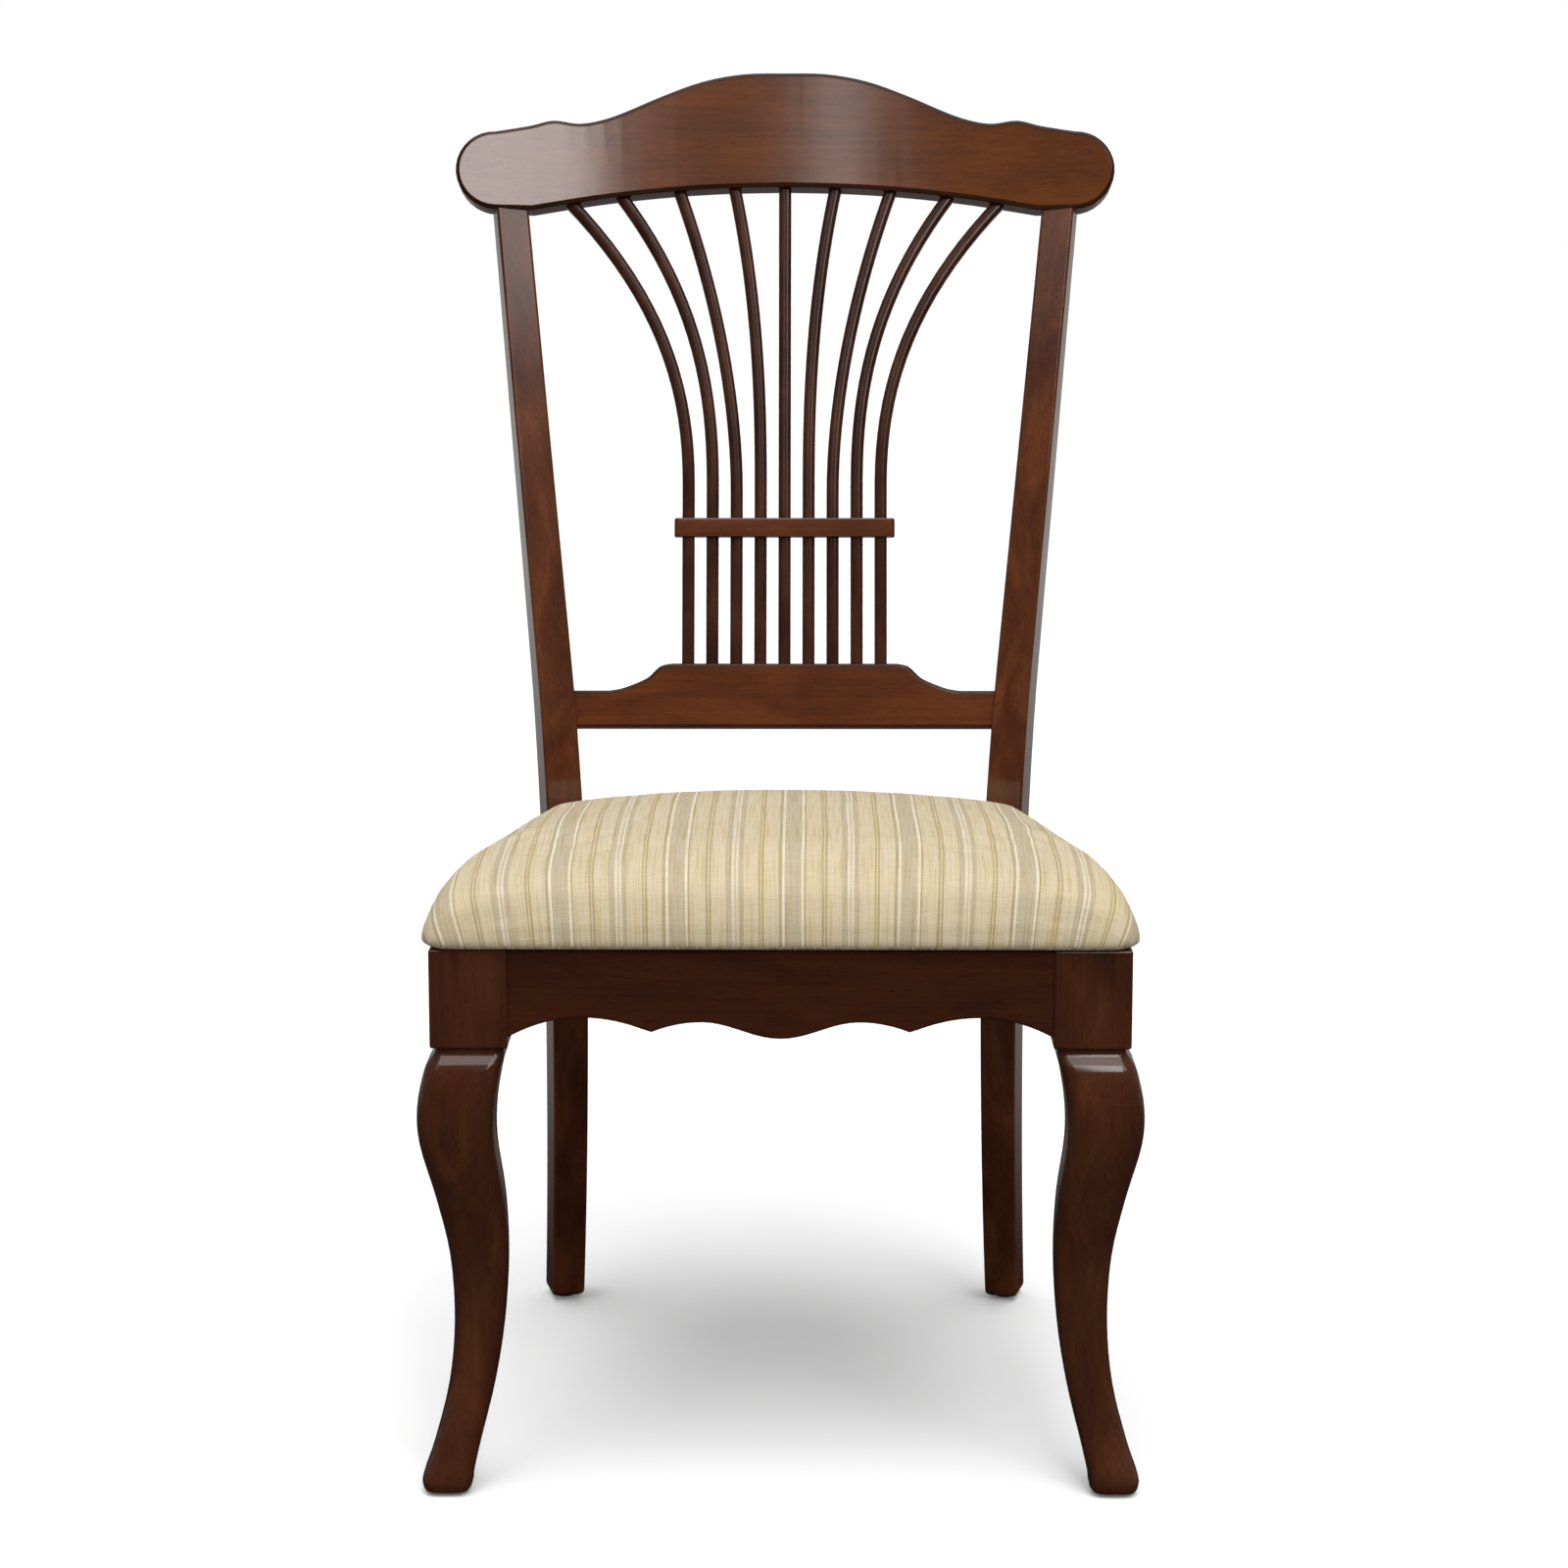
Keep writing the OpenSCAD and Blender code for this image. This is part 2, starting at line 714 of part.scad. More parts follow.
module back_rail() {
    half_l = post_face(rail_top_h).x;
    color(stain) in_place() {
        difference() {
            union() {
                difference() {
                    translate([-half_l, back_rail_y, rail_low]) cube([2 * half_l, rail_t, rail_h]);
                    for (side = both_sides) on_side(side) post_blank();
                }
                for (side = both_sides) on_side(side) back_rail_tenon(0);
            }
            for (side = both_sides) on_side(side) rear_block_screws(screw_play);
        }
    }
}

// Corner blocks and screws

block_low = rail_top_h - block_drop - block_h;
rail_screw_z = block_low + block_h / 2;
screw_seat = rail_screw_l / 2;
front_block_y = leg_block + block_side_l;
rear_block_y = back_rail_y - block_side_l;
rear_block_x = post_inner_x(back_rail_y) - block_l;

front_screw_x = front_half_l - block_l * 0.6;
front_side_screw_y = leg_block + block_side_l * 0.55;
rear_screw_x = rear_block_x + block_l * 0.42;
rear_side_screw_y = back_rail_y - block_side_l * 0.68;

// Where the four screws on the chair's right side stand, screwing from the origin along +Z
module at_front_block_screws() {
    translate([front_screw_x, front_rail_in_y + screw_seat, rail_screw_z]) {
        rotate([90, 0, 0]) children();
    }
    translate([side_in_x(front_side_screw_y) - screw_seat, front_side_screw_y, rail_screw_z]) {
        rotate([0, 90, 0]) children();
    }
}

module at_rear_block_screws() {
    translate([rear_screw_x, back_rail_y - screw_seat, rail_screw_z]) {
        rotate([-90, 0, 0]) children();
    }
    translate([side_in_x(rear_side_screw_y) - screw_seat, rear_side_screw_y, rail_screw_z]) {
        rotate([0, 90, 0]) children();
    }
}

// Screw along +Z with the seat of its head at the origin, or its close hole
module screw(length, play) {
    translate([0, 0, -screw_head_h]) {
        cylinder(d = screw_head_d + 2 * play, h = screw_head_h, $fn = round_fn);
    }
    cylinder(d = screw_d + 2 * play, h = length + play, $fn = round_fn);
}

// Hole for a screw whose head is sunk into a block
module sunk_hole(length) {
    screw(length, screw_play);
    translate([0, 0, -block_l]) {
        cylinder(d = screw_head_d + 2 * screw_play, h = block_l, $fn = round_fn);
    }
}

module front_block_screws(play) {
    at_front_block_screws() screw(rail_screw_l, play);
}

module rear_block_screws(play) {
    at_rear_block_screws() screw(rail_screw_l, play);
}

seat_screw_l = block_h + block_drop + cover_t + seat_screw_bite;
front_seat_screw = [front_half_l + block_l * 0.2, leg_block + block_side_l * 0.25];
rear_seat_screw = [rear_screw_x + block_l * 0.4, back_rail_y - block_side_l * 0.34];

module seat_screw_set(play) {
    for (side = both_sides, at = [front_seat_screw, rear_seat_screw]) {
        translate([side * at.x, at.y, block_low]) screw(seat_screw_l, play);
    }
}

module corner_block_front(side) {
    color(raw_wood) in_place() {
        difference() {
            on_side(side) difference() {
                translate([0, 0, block_low]) linear_extrude(block_h) {
                    polygon([[front_half_l - block_l, front_rail_in_y], [front_half_l, front_rail_in_y],
                        [front_half_l, leg_block], [side_in_x(leg_block), leg_block],
                        [side_in_x(front_block_y), front_block_y]]);
                }
                at_front_block_screws() sunk_hole(rail_screw_l);
            }
            seat_screw_set(screw_play);
        }
    }
}

module corner_block_rear(side) {
    color(raw_wood) in_place() {
        difference() {
            on_side(side) difference() {
                translate([0, 0, block_low]) linear_extrude(block_h) {
                    polygon([[side_in_x(rear_block_y), rear_block_y],
                        [side_in_x(back_rail_y), back_rail_y], [rear_block_x, back_rail_y]]);
                }
                post_blank();
                at_rear_block_screws() sunk_hole(rail_screw_l);
            }
            seat_screw_set(screw_play);
        }
    }
}

module rail_screws() {
    color(zinc) in_place() {
        for (side = both_sides) on_side(side) {
            front_block_screws(0);
            rear_block_screws(0);
        }
    }
}

module seat_screws() {
    color(zinc) in_place() seat_screw_set(0);
}

// Seat

seat_front_y = -seat_front_over;
seat_back_y = frame_depth + seat_back_over;
seat_mid_y = (seat_front_y + seat_back_y) / 2;
seat_half_front = front_w / 2 + seat_side_over;
seat_corner_steps = 5;
back_corner_r = seat_corner_r * 1.2;
crown_back_r = crown_corner_r * 1.2;

// Corners of the notch that clears the right post
notch_out = post_point(rail_top_h, post_w / 2 + seat_gap, -seat_gap);
notch_in = post_point(rail_top_h, -post_w / 2 - seat_gap, -seat_gap);
seat_side_y = notch_out.y - seat_rear_r;
seat_half_rear = max(side_out_x(seat_side_y) + seat_side_over, notch_out.x + seat_rear_r / 2);
notch_back_x = notch_in.x + (seat_back_y - notch_in.y) * tan(post_turn);

seat_notch = [[seat_half_rear, seat_side_y],
    [seat_half_rear - seat_rear_r / 4, notch_out.y - seat_rear_r / 4],
    [notch_out.x, notch_out.y], [(notch_out.x + notch_in.x) / 2, (notch_out.y + notch_in.y) / 2],
    [notch_in.x, notch_in.y], [notch_back_x, seat_back_y]];

// Seat's outline about its middle, with some of the notch left and some of the
// corners' rounding towards the crown gained
function seat_outline(notch_share, round_share) =
    let (
        r = lerp(seat_corner_r, crown_corner_r, round_share),
        back_r = lerp(back_corner_r, crown_back_r, round_share),
        corner = [seat_half_front - r, seat_front_y + r],
        back_corner = [seat_half_rear - back_r, seat_back_y - back_r],
        rear = lerp(arc(back_corner, back_r, 0, 90, len(seat_notch) - 1), seat_notch, notch_share),
        half = concat(
            [for (s = [0, 1 / 3, 2 / 3]) [s * corner.x, seat_front_y]],
            arc(corner, r, 270, 360, seat_corner_steps),
            [for (s = [0.25, 0.5, 0.75]) lerp([seat_half_front, corner.y], rear[0], s)],
            rear,
            [[rear[len(rear) - 1].x / 2, seat_back_y], [0, seat_back_y]])
    )
    [for (p = concat(half, [for (q = reversed(half)) if (q.x > 0) [-q.x, q.y]])) [p.x, p.y - seat_mid_y]];

// Section of the seat: shares of the outline's size, of the crown's height, of the
// notch that is left and of the corners' rounding gained
crown_shares = [[0.982, 0, 1, 0], [0.994, 0.025, 1, 0], [1, 0.075, 1, 0], [0.993, 0.2, 1, 0],
    [0.982, 0.32, 1, 0], [0.968, 0.46, 1, 0.05], [0.947, 0.6, 1, 0.15], [0.92, 0.7, 0.7, 0.35],
    [0.88, 0.79, 0.3, 0.6], [0.815, 0.865, 0, 0.8], [0.73, 0.92, 0, 0.9], [0.6, 0.96, 0, 1],
    [0.4, 0.987, 0, 1], [0.15, 1, 0, 1]];

// Flat ring under the crown, at a height above the rails
function flat_ring(size_share, h) =
    [for (p = seat_outline(1, 0)) [size_share * p.x, seat_mid_y + size_share * p.y, rail_top_h + h]];

// Share of the outline's size that a gap inside it takes
function gap_share(gap) = gap / (seat_back_y - seat_mid_y);

// Ring of the crown, a gap inside it, that falls towards the back
function crown_ring(row, gap) =
    let (size_share = row[0] - gap_share(gap))
    [for (p = seat_outline(row[2], row[3]))
        let (
            back_share = max(0, size_share * p.y / (seat_back_y - seat_mid_y)),
            fall = seat_rear_fall * pow(row[1] * back_share, 2)
        )
        [size_share * p.x, seat_mid_y + size_share * p.y, rail_top_h + row[1] * (seat_h - gap) - fall]];

// Rings up the crown, a gap inside it, from a height above the rails
function crown_rings(gap, from) =
    [for (row = crown_shares) if (row[1] * (seat_h - gap) >= from) crown_ring(row, gap)];

board_share = crown_shares[0][0] - gap_share(cover_t);
hem_share = board_share - gap_share(hem_w);
board_top = cover_t + board_t;

module board_outline(size_share) {
    polygon([for (p = flat_ring(size_share, 0)) [p.x, p.y]]);
}

module seat_board() {
    color(raw_wood) in_place() {
        difference() {
            translate([0, 0, rail_top_h + cover_t]) linear_extrude(board_t) {
                board_outline(board_share - gap_share(soft_gap));
            }
            seat_screw_set(screw_play);
        }
    }
}

module seat_foam() {
    color(foam_yellow) in_place() {
        rings_solid(concat(
            [flat_ring(board_share - gap_share(soft_gap), board_top)],
            crown_rings(cover_t + soft_gap, board_top)));
    }
}

// Cover: down the inside of the crown, round the hem and up the outside
module seat_cover() {
    color(cloth_cream) in_place() {
        difference() {
            rings_solid(concat(
                reversed(crown_rings(cover_t, board_top)),
                [flat_ring(board_share, board_top), flat_ring(board_share, cover_t),
                    flat_ring(hem_share, cover_t), flat_ring(hem_share, 0)],
                crown_rings(0, 0)));
            seat_screw_set(screw_play);
        }
    }
}

module dust_cover() {
    cloth_t = cover_t * 2 / 3;
    color(cloth_black) in_place() {
        difference() {
            translate([0, 0, rail_top_h + cover_t - cloth_t]) linear_extrude(cloth_t) {
                board_outline(hem_share - gap_share(soft_gap));
            }
            seat_screw_set(screw_play);
        }
    }
}

// Glides

front_glide_at = [leg_x + cabriole_shares[0][1] * leg_block, leg_mid - cabriole_shares[0][1] * leg_block, 0];
rear_glide_at = post_point(0, 0, post_foot_d / 2);

// Nail of a glide on the right side, or its hole
module glide_nail(at, play) {
    translate(at) cylinder(d = nail_d + 2 * play, h = glide_h + nail_l + play, $fn = round_fn);
}

module glide(side, at) {
    color(zinc) in_place() on_side(side) {
        translate(at) cylinder(d = glide_d, h = glide_h, $fn = round_fn);
        glide_nail(at, 0);
    }
}

module glide_front(side) {
    glide(side, front_glide_at);
}

module glide_rear(side) {
    glide(side, rear_glide_at);
}

// Middle of the chair's depth, between the toes and the back of the crown
toe_reach = max([for (row = cabriole_shares) (row[1] + row[2] / 2) * leg_block]) - leg_mid;
back_reach = frame_depth + back_length * sin(back_rake) + (crest_front(0) + crest_t) * cos(back_rake);
middle_y = (back_reach - toe_reach) / 2;

rear_post(left);  // rear_post_left
rear_post(right);  // rear_post_right
front_leg(left);  // front_leg_left
front_leg(right);  // front_leg_right
side_rail(left);  // side_rail_left
side_rail(right);  // side_rail_right
corner_block_front(left);  // corner_block_front_left
corner_block_front(right);  // corner_block_front_right
corner_block_rear(left);  // corner_block_rear_left
corner_block_rear(right);  // corner_block_rear_right
glide_front(left);  // glide_front_left
glide_front(right);  // glide_front_right
glide_rear(left);  // glide_rear_left
glide_rear(right);  // glide_rear_right
for (i = [1 : slat_count]) slat(i);
crest_rail();
lower_back_rail();
sheaf_band();
front_rail();
back_rail();
crest_dowels();
rail_screws();
seat_screws();
seat_board();
seat_foam();
seat_cover();
dust_cover();
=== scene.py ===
import math
import bmesh
import bpy
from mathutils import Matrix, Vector


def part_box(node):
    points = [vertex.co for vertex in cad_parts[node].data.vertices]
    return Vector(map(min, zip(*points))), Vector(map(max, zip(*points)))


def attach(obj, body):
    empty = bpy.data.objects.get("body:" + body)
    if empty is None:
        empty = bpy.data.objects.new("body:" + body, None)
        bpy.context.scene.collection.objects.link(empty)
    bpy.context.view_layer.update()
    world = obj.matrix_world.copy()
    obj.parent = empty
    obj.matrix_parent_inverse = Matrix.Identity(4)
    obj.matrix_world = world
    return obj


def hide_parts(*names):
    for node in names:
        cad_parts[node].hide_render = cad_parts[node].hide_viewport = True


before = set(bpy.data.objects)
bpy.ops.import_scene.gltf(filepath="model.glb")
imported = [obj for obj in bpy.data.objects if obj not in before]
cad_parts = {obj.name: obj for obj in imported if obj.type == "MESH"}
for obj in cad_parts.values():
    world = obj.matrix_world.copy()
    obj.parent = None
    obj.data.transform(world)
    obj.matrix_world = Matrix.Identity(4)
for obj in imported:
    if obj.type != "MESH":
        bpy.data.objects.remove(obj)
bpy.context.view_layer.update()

# Rear posts
# Two sawn and shaped beech posts, each one piece from the foot to the crest
# rail. They are square to the seat below, lean back above it, and their front
# faces turn a little towards the middle of the chair.
RAIL_TOP = 0.420
FRAME_DEPTH = 0.411
MIDDLE_Y = 0.290548
GLIDE_HEIGHT = 0.003
POST_SPREAD = 0.363
POST_TURN = math.radians(14)
POST_SEAT_SIZE = Vector((0.031, 0.040))
POST_TOP_SIZE = Vector((0.0275, 0.024))
POST_FOOT_SIZE = Vector((0.0285, 0.036))
POST_EDGE_ROUND = 0.0025
POST_FOOT_ROUND = POST_FOOT_SIZE.x / 5
FOOT_ROUND_ANGLES = (0, 22, 45, 67)
POST_SECTIONS = 40
BACK_RAKE = math.radians(13.5)
LEAN_START = RAIL_TOP + 0.020
LEAN_BLEND = 0.080
SPLAY = math.radians(5.7)
SPLAY_START = RAIL_TOP - 0.090
SPLAY_BLEND = 0.240
SWEEP_START = RAIL_TOP - 0.070
FOOT_SWEEP = 0.069
FOOT_SWEEP_POWER = 1.8
FOOT_SPREAD = 0.009
BEND_HEIGHT = LEAN_START + LEAN_BLEND / 2
BACK_LENGTH = 0.6045
CREST_HEIGHT = 0.121
CREST_END_HEIGHT = 0.067
CREST_LOW = BACK_LENGTH - CREST_HEIGHT
CREST_LOW_HEIGHT = BEND_HEIGHT + CREST_LOW * math.cos(BACK_RAKE)
ROUND_STEPS = 4
MERGE_DISTANCE = 0.00001
SMOOTH_ANGLE = math.radians(40)


def blend(a, b, share):
    return a + (b - a) * share


def eased(run, length):
    """Distance gained, for a slope of one, by a run that eases in over a length."""
    if run <= 0:
        return 0
    return run * run / (2 * length) if run < length else run - length / 2


def drop_share(height, start):
    """How far a height lies below a level, as a share of the level's own height."""
    return max(0, (start - height) / start)


def post_face(height):
    """Middle of the right post's front face."""
    x = (POST_SPREAD / 2 + math.tan(SPLAY) * eased(height - SPLAY_START, SPLAY_BLEND)
         + FOOT_SPREAD * drop_share(height, SPLAY_START) ** 2)
    y = (FRAME_DEPTH + math.tan(BACK_RAKE) * eased(height - LEAN_START, LEAN_BLEND)
         + FOOT_SWEEP * drop_share(height, SWEEP_START) ** FOOT_SWEEP_POWER)
    return Vector((x, y - MIDDLE_Y, height))


def post_size(height):
    """Width and depth of a post."""
    if height < LEAN_START:
        return blend(POST_FOOT_SIZE, POST_SEAT_SIZE, min(1, height / SWEEP_START))
    return blend(POST_SEAT_SIZE, POST_TOP_SIZE, (height - LEAN_START) / (CREST_LOW_HEIGHT - LEAN_START))


def pick(piece):
    """Selects one piece alone."""
    bpy.ops.object.select_all(action="DESELECT")
    piece.select_set(True)
    bpy.context.view_layer.objects.active = piece


def edit(piece):
    """Opens one piece for editing, with all of it selected."""
    pick(piece)
    bpy.ops.object.mode_set(mode="EDIT")
    bpy.ops.mesh.select_mode(type="VERT")
    bpy.ops.mesh.select_all(action="SELECT")


def start_piece(name):
    """Adds a plane as the start of a piece, open for editing."""
    bpy.ops.object.select_all(action="DESELECT")
    bpy.ops.mesh.primitive_plane_add(size=1)
    piece = bpy.context.object
    piece.name = name
    piece.data.name = name
    edit(piece)
    return piece


def finish_mesh(piece):
    """Turns the faces outwards and shades the flats flat and the round edges smooth."""
    bpy.ops.object.mode_set(mode="EDIT")
    bpy.ops.mesh.select_all(action="SELECT")
    bpy.ops.mesh.remove_doubles(threshold=MERGE_DISTANCE)
    bpy.ops.mesh.normals_make_consistent(inside=False)
    bpy.ops.object.mode_set(mode="OBJECT")
    bpy.ops.object.shade_smooth_by_angle(angle=SMOOTH_ANGLE)
    bpy.ops.object.modifier_add(type="WEIGHTED_NORMAL")
    weighted = piece.modifiers[-1]
    weighted.keep_sharp = True
    bpy.ops.object.modifier_apply(modifier=weighted.name)


def skin(name, sections):
    """Closed skin over rounded rectangles, each given as its middle, width, depth,
    corner radius, turn about Z and tip about Y."""
    piece = start_piece(name)
    bpy.ops.mesh.delete(type="VERT")
    for middle, width, depth, radius, turn, tip in sections:
        bpy.ops.mesh.primitive_plane_add(size=1, location=middle)
        bpy.ops.transform.resize(value=(width, depth, 1), center_override=middle)
        bpy.ops.mesh.bevel(offset=radius, segments=ROUND_STEPS, affect="VERTICES")
        # The operator turns clockwise for a positive angle when there is no window
        if turn:
            bpy.ops.transform.rotate(value=-turn, orient_axis="Z", center_override=middle)
        if tip:
            bpy.ops.transform.rotate(value=-tip, orient_axis="Y", center_override=middle)
    bpy.ops.mesh.select_all(action="SELECT")
    bpy.ops.mesh.delete(type="ONLY_FACE")
    bpy.ops.mesh.select_all(action="SELECT")
    bpy.ops.mesh.bridge_edge_loops()
    bpy.ops.mesh.fill_holes(sides=0)
    finish_mesh(piece)
    return piece


def copy_of(piece, name):
    """A copy of a piece or of a node, with a mesh of its own and bare of materials, open for editing."""
    pick(piece)
    bpy.ops.object.duplicate()
    twin = bpy.context.object
    twin.name = name
    twin.data = twin.data.copy()
    twin.data.name = name
    twin.data.materials.clear()
    edit(twin)
    return twin


def mirrored(piece, name):
    """A copy of a right-hand piece for the left side."""
    twin = copy_of(piece, name)
    bpy.ops.transform.mirror(constraint_axis=(True, False, False), center_override=(0, 0, 0))
    finish_mesh(twin)
    return twin


def stand_for(piece, slot, *nodes):
    """Puts a piece on the chair's one body in place of its nodes."""
    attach(piece, "root")
    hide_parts(*nodes)


def post_section(height, inset):
    """A post's section, drawn in on all sides by an inset."""
    face = post_face(height)
    size = post_size(height)
    behind = Vector((math.sin(POST_TURN), math.cos(POST_TURN), 0)) * size.y / 2
    return (face + behind, size.x - 2 * inset, size.y - 2 * inset, POST_EDGE_ROUND, -POST_TURN, 0)


def colour(code):
    """Linear colour of an sRGB hex value."""
    parts = [int(code[i:i + 2], 16) / 255 for i in (1, 3, 5)]
    return tuple(c / 12.92 if c <= 0.04045 else ((c + 0.055) / 1.055) ** 2.4 for c in parts) + (1,)


def new_material(name):
    material = bpy.data.materials.new(name)
    material.use_nodes = True
    return material, material.node_tree.nodes["Principled BSDF"]


def set_inputs(material, node, inputs):
    """Sets a node's inputs, each to a value or to another node's output."""
    for key, value in inputs.items():
        if isinstance(value, bpy.types.NodeSocket):
            material.node_tree.links.new(value, node.inputs[key])
        else:
            node.inputs[key].default_value = value


def add_node(material, kind, inputs=None, stops=(), **settings):
    """Adds a node with its inputs, a ramp's stops as place and hex colour, and its settings."""
    node = material.node_tree.nodes.new(kind)
    for key, value in settings.items():
        setattr(node, key, value)
    if stops:
        elements = node.color_ramp.elements
        while len(elements) < len(stops):
            elements.new(1)
        for element, (place, code) in zip(elements, stops):
            element.position = place
            element.color = colour(code)
    set_inputs(material, node, inputs or {})
    return node


# Stained beech: close-grained wood under a dark red-brown stain and a satin
# lacquer. The stain clouds a little along the grain, the growth lines show as
# soft streaks, and the rays as short dark flecks, drawn twice their real width
# to show. The lacquer lies over it as a smooth coat.
FIGURE_ACROSS = 0.028
FIGURE_ALONG = 0.090
STREAK_ACROSS = 0.0030
STREAK_ALONG = 0.120
FLECK_ACROSS = 0.0010
FLECK_ALONG = 0.0085
# Sockets of a Mix node that mixes colours
MIX_A, MIX_B, MIX_RESULT = 6, 7, 2


def stretched(grain, across, along):
    """Scale that draws a pattern long along the grain and short across it."""
    return [1 / along if axis == grain else 1 / across for axis in "xyz"]


def stained_beech(name, grain, deep, middle, warm, lacquer=1.0, haze=0.12):
    """Beech with its grain along an axis, stained between three colours under lacquer."""
    material, shader = new_material(name)
    place = add_node(material, "ShaderNodeTexCoord").outputs["Object"]
    figure_place = add_node(material, "ShaderNodeMapping", {
        "Vector": place, "Scale": stretched(grain, FIGURE_ACROSS, FIGURE_ALONG)}).outputs["Vector"]
    figure = add_node(material, "ShaderNodeTexNoise", {
        "Vector": figure_place, "Scale": 1.0, "Detail": 2.5, "Roughness": 0.55, "Distortion": 0.6}
        ).outputs["Fac"]
    streak_place = add_node(material, "ShaderNodeMapping", {
        "Vector": place, "Scale": stretched(grain, STREAK_ACROSS, STREAK_ALONG)}).outputs["Vector"]
    streaks = add_node(material, "ShaderNodeTexNoise", {
        "Vector": streak_place, "Scale": 1.0, "Detail": 3.0, "Roughness": 0.6, "Distortion": 0.3}
        ).outputs["Fac"]
    fleck_place = add_node(material, "ShaderNodeMapping", {
        "Vector": place, "Scale": stretched(grain, FLECK_ACROSS, FLECK_ALONG)}).outputs["Vector"]
    flecks = add_node(material, "ShaderNodeTexNoise", {
        "Vector": fleck_place, "Scale": 1.0, "Detail": 1.0}).outputs["Fac"]
    stain = add_node(material, "ShaderNodeValToRGB", {"Fac": figure},
                     [(0.30, deep), (0.52, middle), (0.74, warm)]).outputs["Color"]
    streak_tint = add_node(material, "ShaderNodeValToRGB", {"Fac": streaks},
                           [(0.30, "#d6d2cf"), (0.62, "#ffffff")]).outputs["Color"]
    fleck_tint = add_node(material, "ShaderNodeValToRGB", {"Fac": flecks},
                          [(0.27, "#b2aba6"), (0.38, "#ffffff")]).outputs["Color"]
    streaked = add_node(material, "ShaderNodeMix", {"Factor": 0.6, MIX_A: stain, MIX_B: streak_tint},
                        data_type="RGBA", blend_type="MULTIPLY").outputs[MIX_RESULT]
    tint = add_node(material, "ShaderNodeMix", {"Factor": 0.5, MIX_A: streaked, MIX_B: fleck_tint},
                    data_type="RGBA", blend_type="MULTIPLY").outputs[MIX_RESULT]
    rough = add_node(material, "ShaderNodeMapRange", {
        "Value": figure, "From Min": 0.3, "From Max": 0.7, "To Min": 0.46, "To Max": 0.38}).outputs["Result"]
    grain_bump = add_node(material, "ShaderNodeBump", {
        "Strength": 0.25, "Distance": 0.0003, "Height": streaks}).outputs["Normal"]
    lacquer_bump = add_node(material, "ShaderNodeBump", {
        "Strength": 0.05, "Distance": 0.0003, "Height": figure}).outputs["Normal"]
    set_inputs(material, shader, {
        "Base Color": tint, "Roughness": rough, "Normal": grain_bump, "IOR": 1.5, "Specular IOR Level": 0.02,
        "Coat Weight": lacquer, "Coat Roughness": haze, "Coat IOR": 1.5, "Coat Normal": lacquer_bump})
    return material


post_beech = stained_beech("stained_beech_posts", "z", "#4b2616", "#5d321c", "#6e3d21")
# The foot's lower edge is rounded over a quarter turn
post_low = GLIDE_HEIGHT + POST_FOOT_ROUND
post_high = CREST_LOW_HEIGHT + CREST_END_HEIGHT / 2
foot_angles = [math.radians(a) for a in FOOT_ROUND_ANGLES]
post_sections = [post_section(post_low - POST_FOOT_ROUND * math.cos(a), POST_FOOT_ROUND * (1 - math.sin(a)))
                 for a in foot_angles]
post_sections += [post_section(blend(post_low, post_high, k / POST_SECTIONS), 0)
                  for k in range(POST_SECTIONS + 1)]
post_right = skin("rear_post_right_shaped", post_sections)
post_left = mirrored(post_right, "rear_post_left_shaped")
for post, side in ((post_right, "right"), (post_left, "left")):
    post.data.materials.append(post_beech)
    stand_for(post, "stained_wood", "rear_post_" + side)

# Lower back rail
# A flat beech board between the posts, tenoned into them, with a raised middle
# that the slats stand in. Its upper front edge is rounded over.
LOW_RAIL_LOW = 0.042
LOW_RAIL_END_HEIGHT = 0.0315
LOW_RAIL_RISE = 0.023
LOW_RAIL_FLAT = 0.095
LOW_RAIL_RUN = 0.053
LOW_RAIL_THICKNESS = 0.020
LOW_RAIL_BACK = 0.0065
LOW_RAIL_ROUND = 0.0028
BOARD_ROUND = 0.0015
FLAT_FACE = 0.995
CURVE_STEPS = 4
# A shoulder from the raised middle to its foot: shares of its run and of its rise
SHOULDER_SHARES = [(0, 1), (0.158, 0.926), (0.25, 0.778), (0.345, 0.556), (0.44, 0.407),
                   (0.626, 0.222), (0.81, 0.074), (1, 0)]


def smooth_line(points):
    """Points of a smooth curve through given points."""
    line = []
    for i in range(len(points) - 1):
        p0, p1, p2, p3 = (Vector(points[max(0, min(j, len(points) - 1))]) for j in range(i - 1, i + 3))
        for k in range(CURVE_STEPS):
            f = k / CURVE_STEPS
            line.append(0.5 * (2 * p1 + (p2 - p0) * f + (2 * p0 - 5 * p1 + 4 * p2 - p3) * f * f
                               + (3 * p1 - p0 - 3 * p2 + p3) * f * f * f))
    return line + [Vector(points[-1])]


def select_edges(piece, test):
    """Selects the edges that pass a test of their two end points and themselves."""
    bpy.ops.mesh.select_mode(type="EDGE")
    bpy.ops.mesh.select_all(action="DESELECT")
    mesh = bmesh.from_edit_mesh(piece.data)
    for edge in mesh.edges:
        if test(edge.verts[0].co, edge.verts[1].co, edge):
            edge.select_set(True)
    bmesh.update_edit_mesh(piece.data)


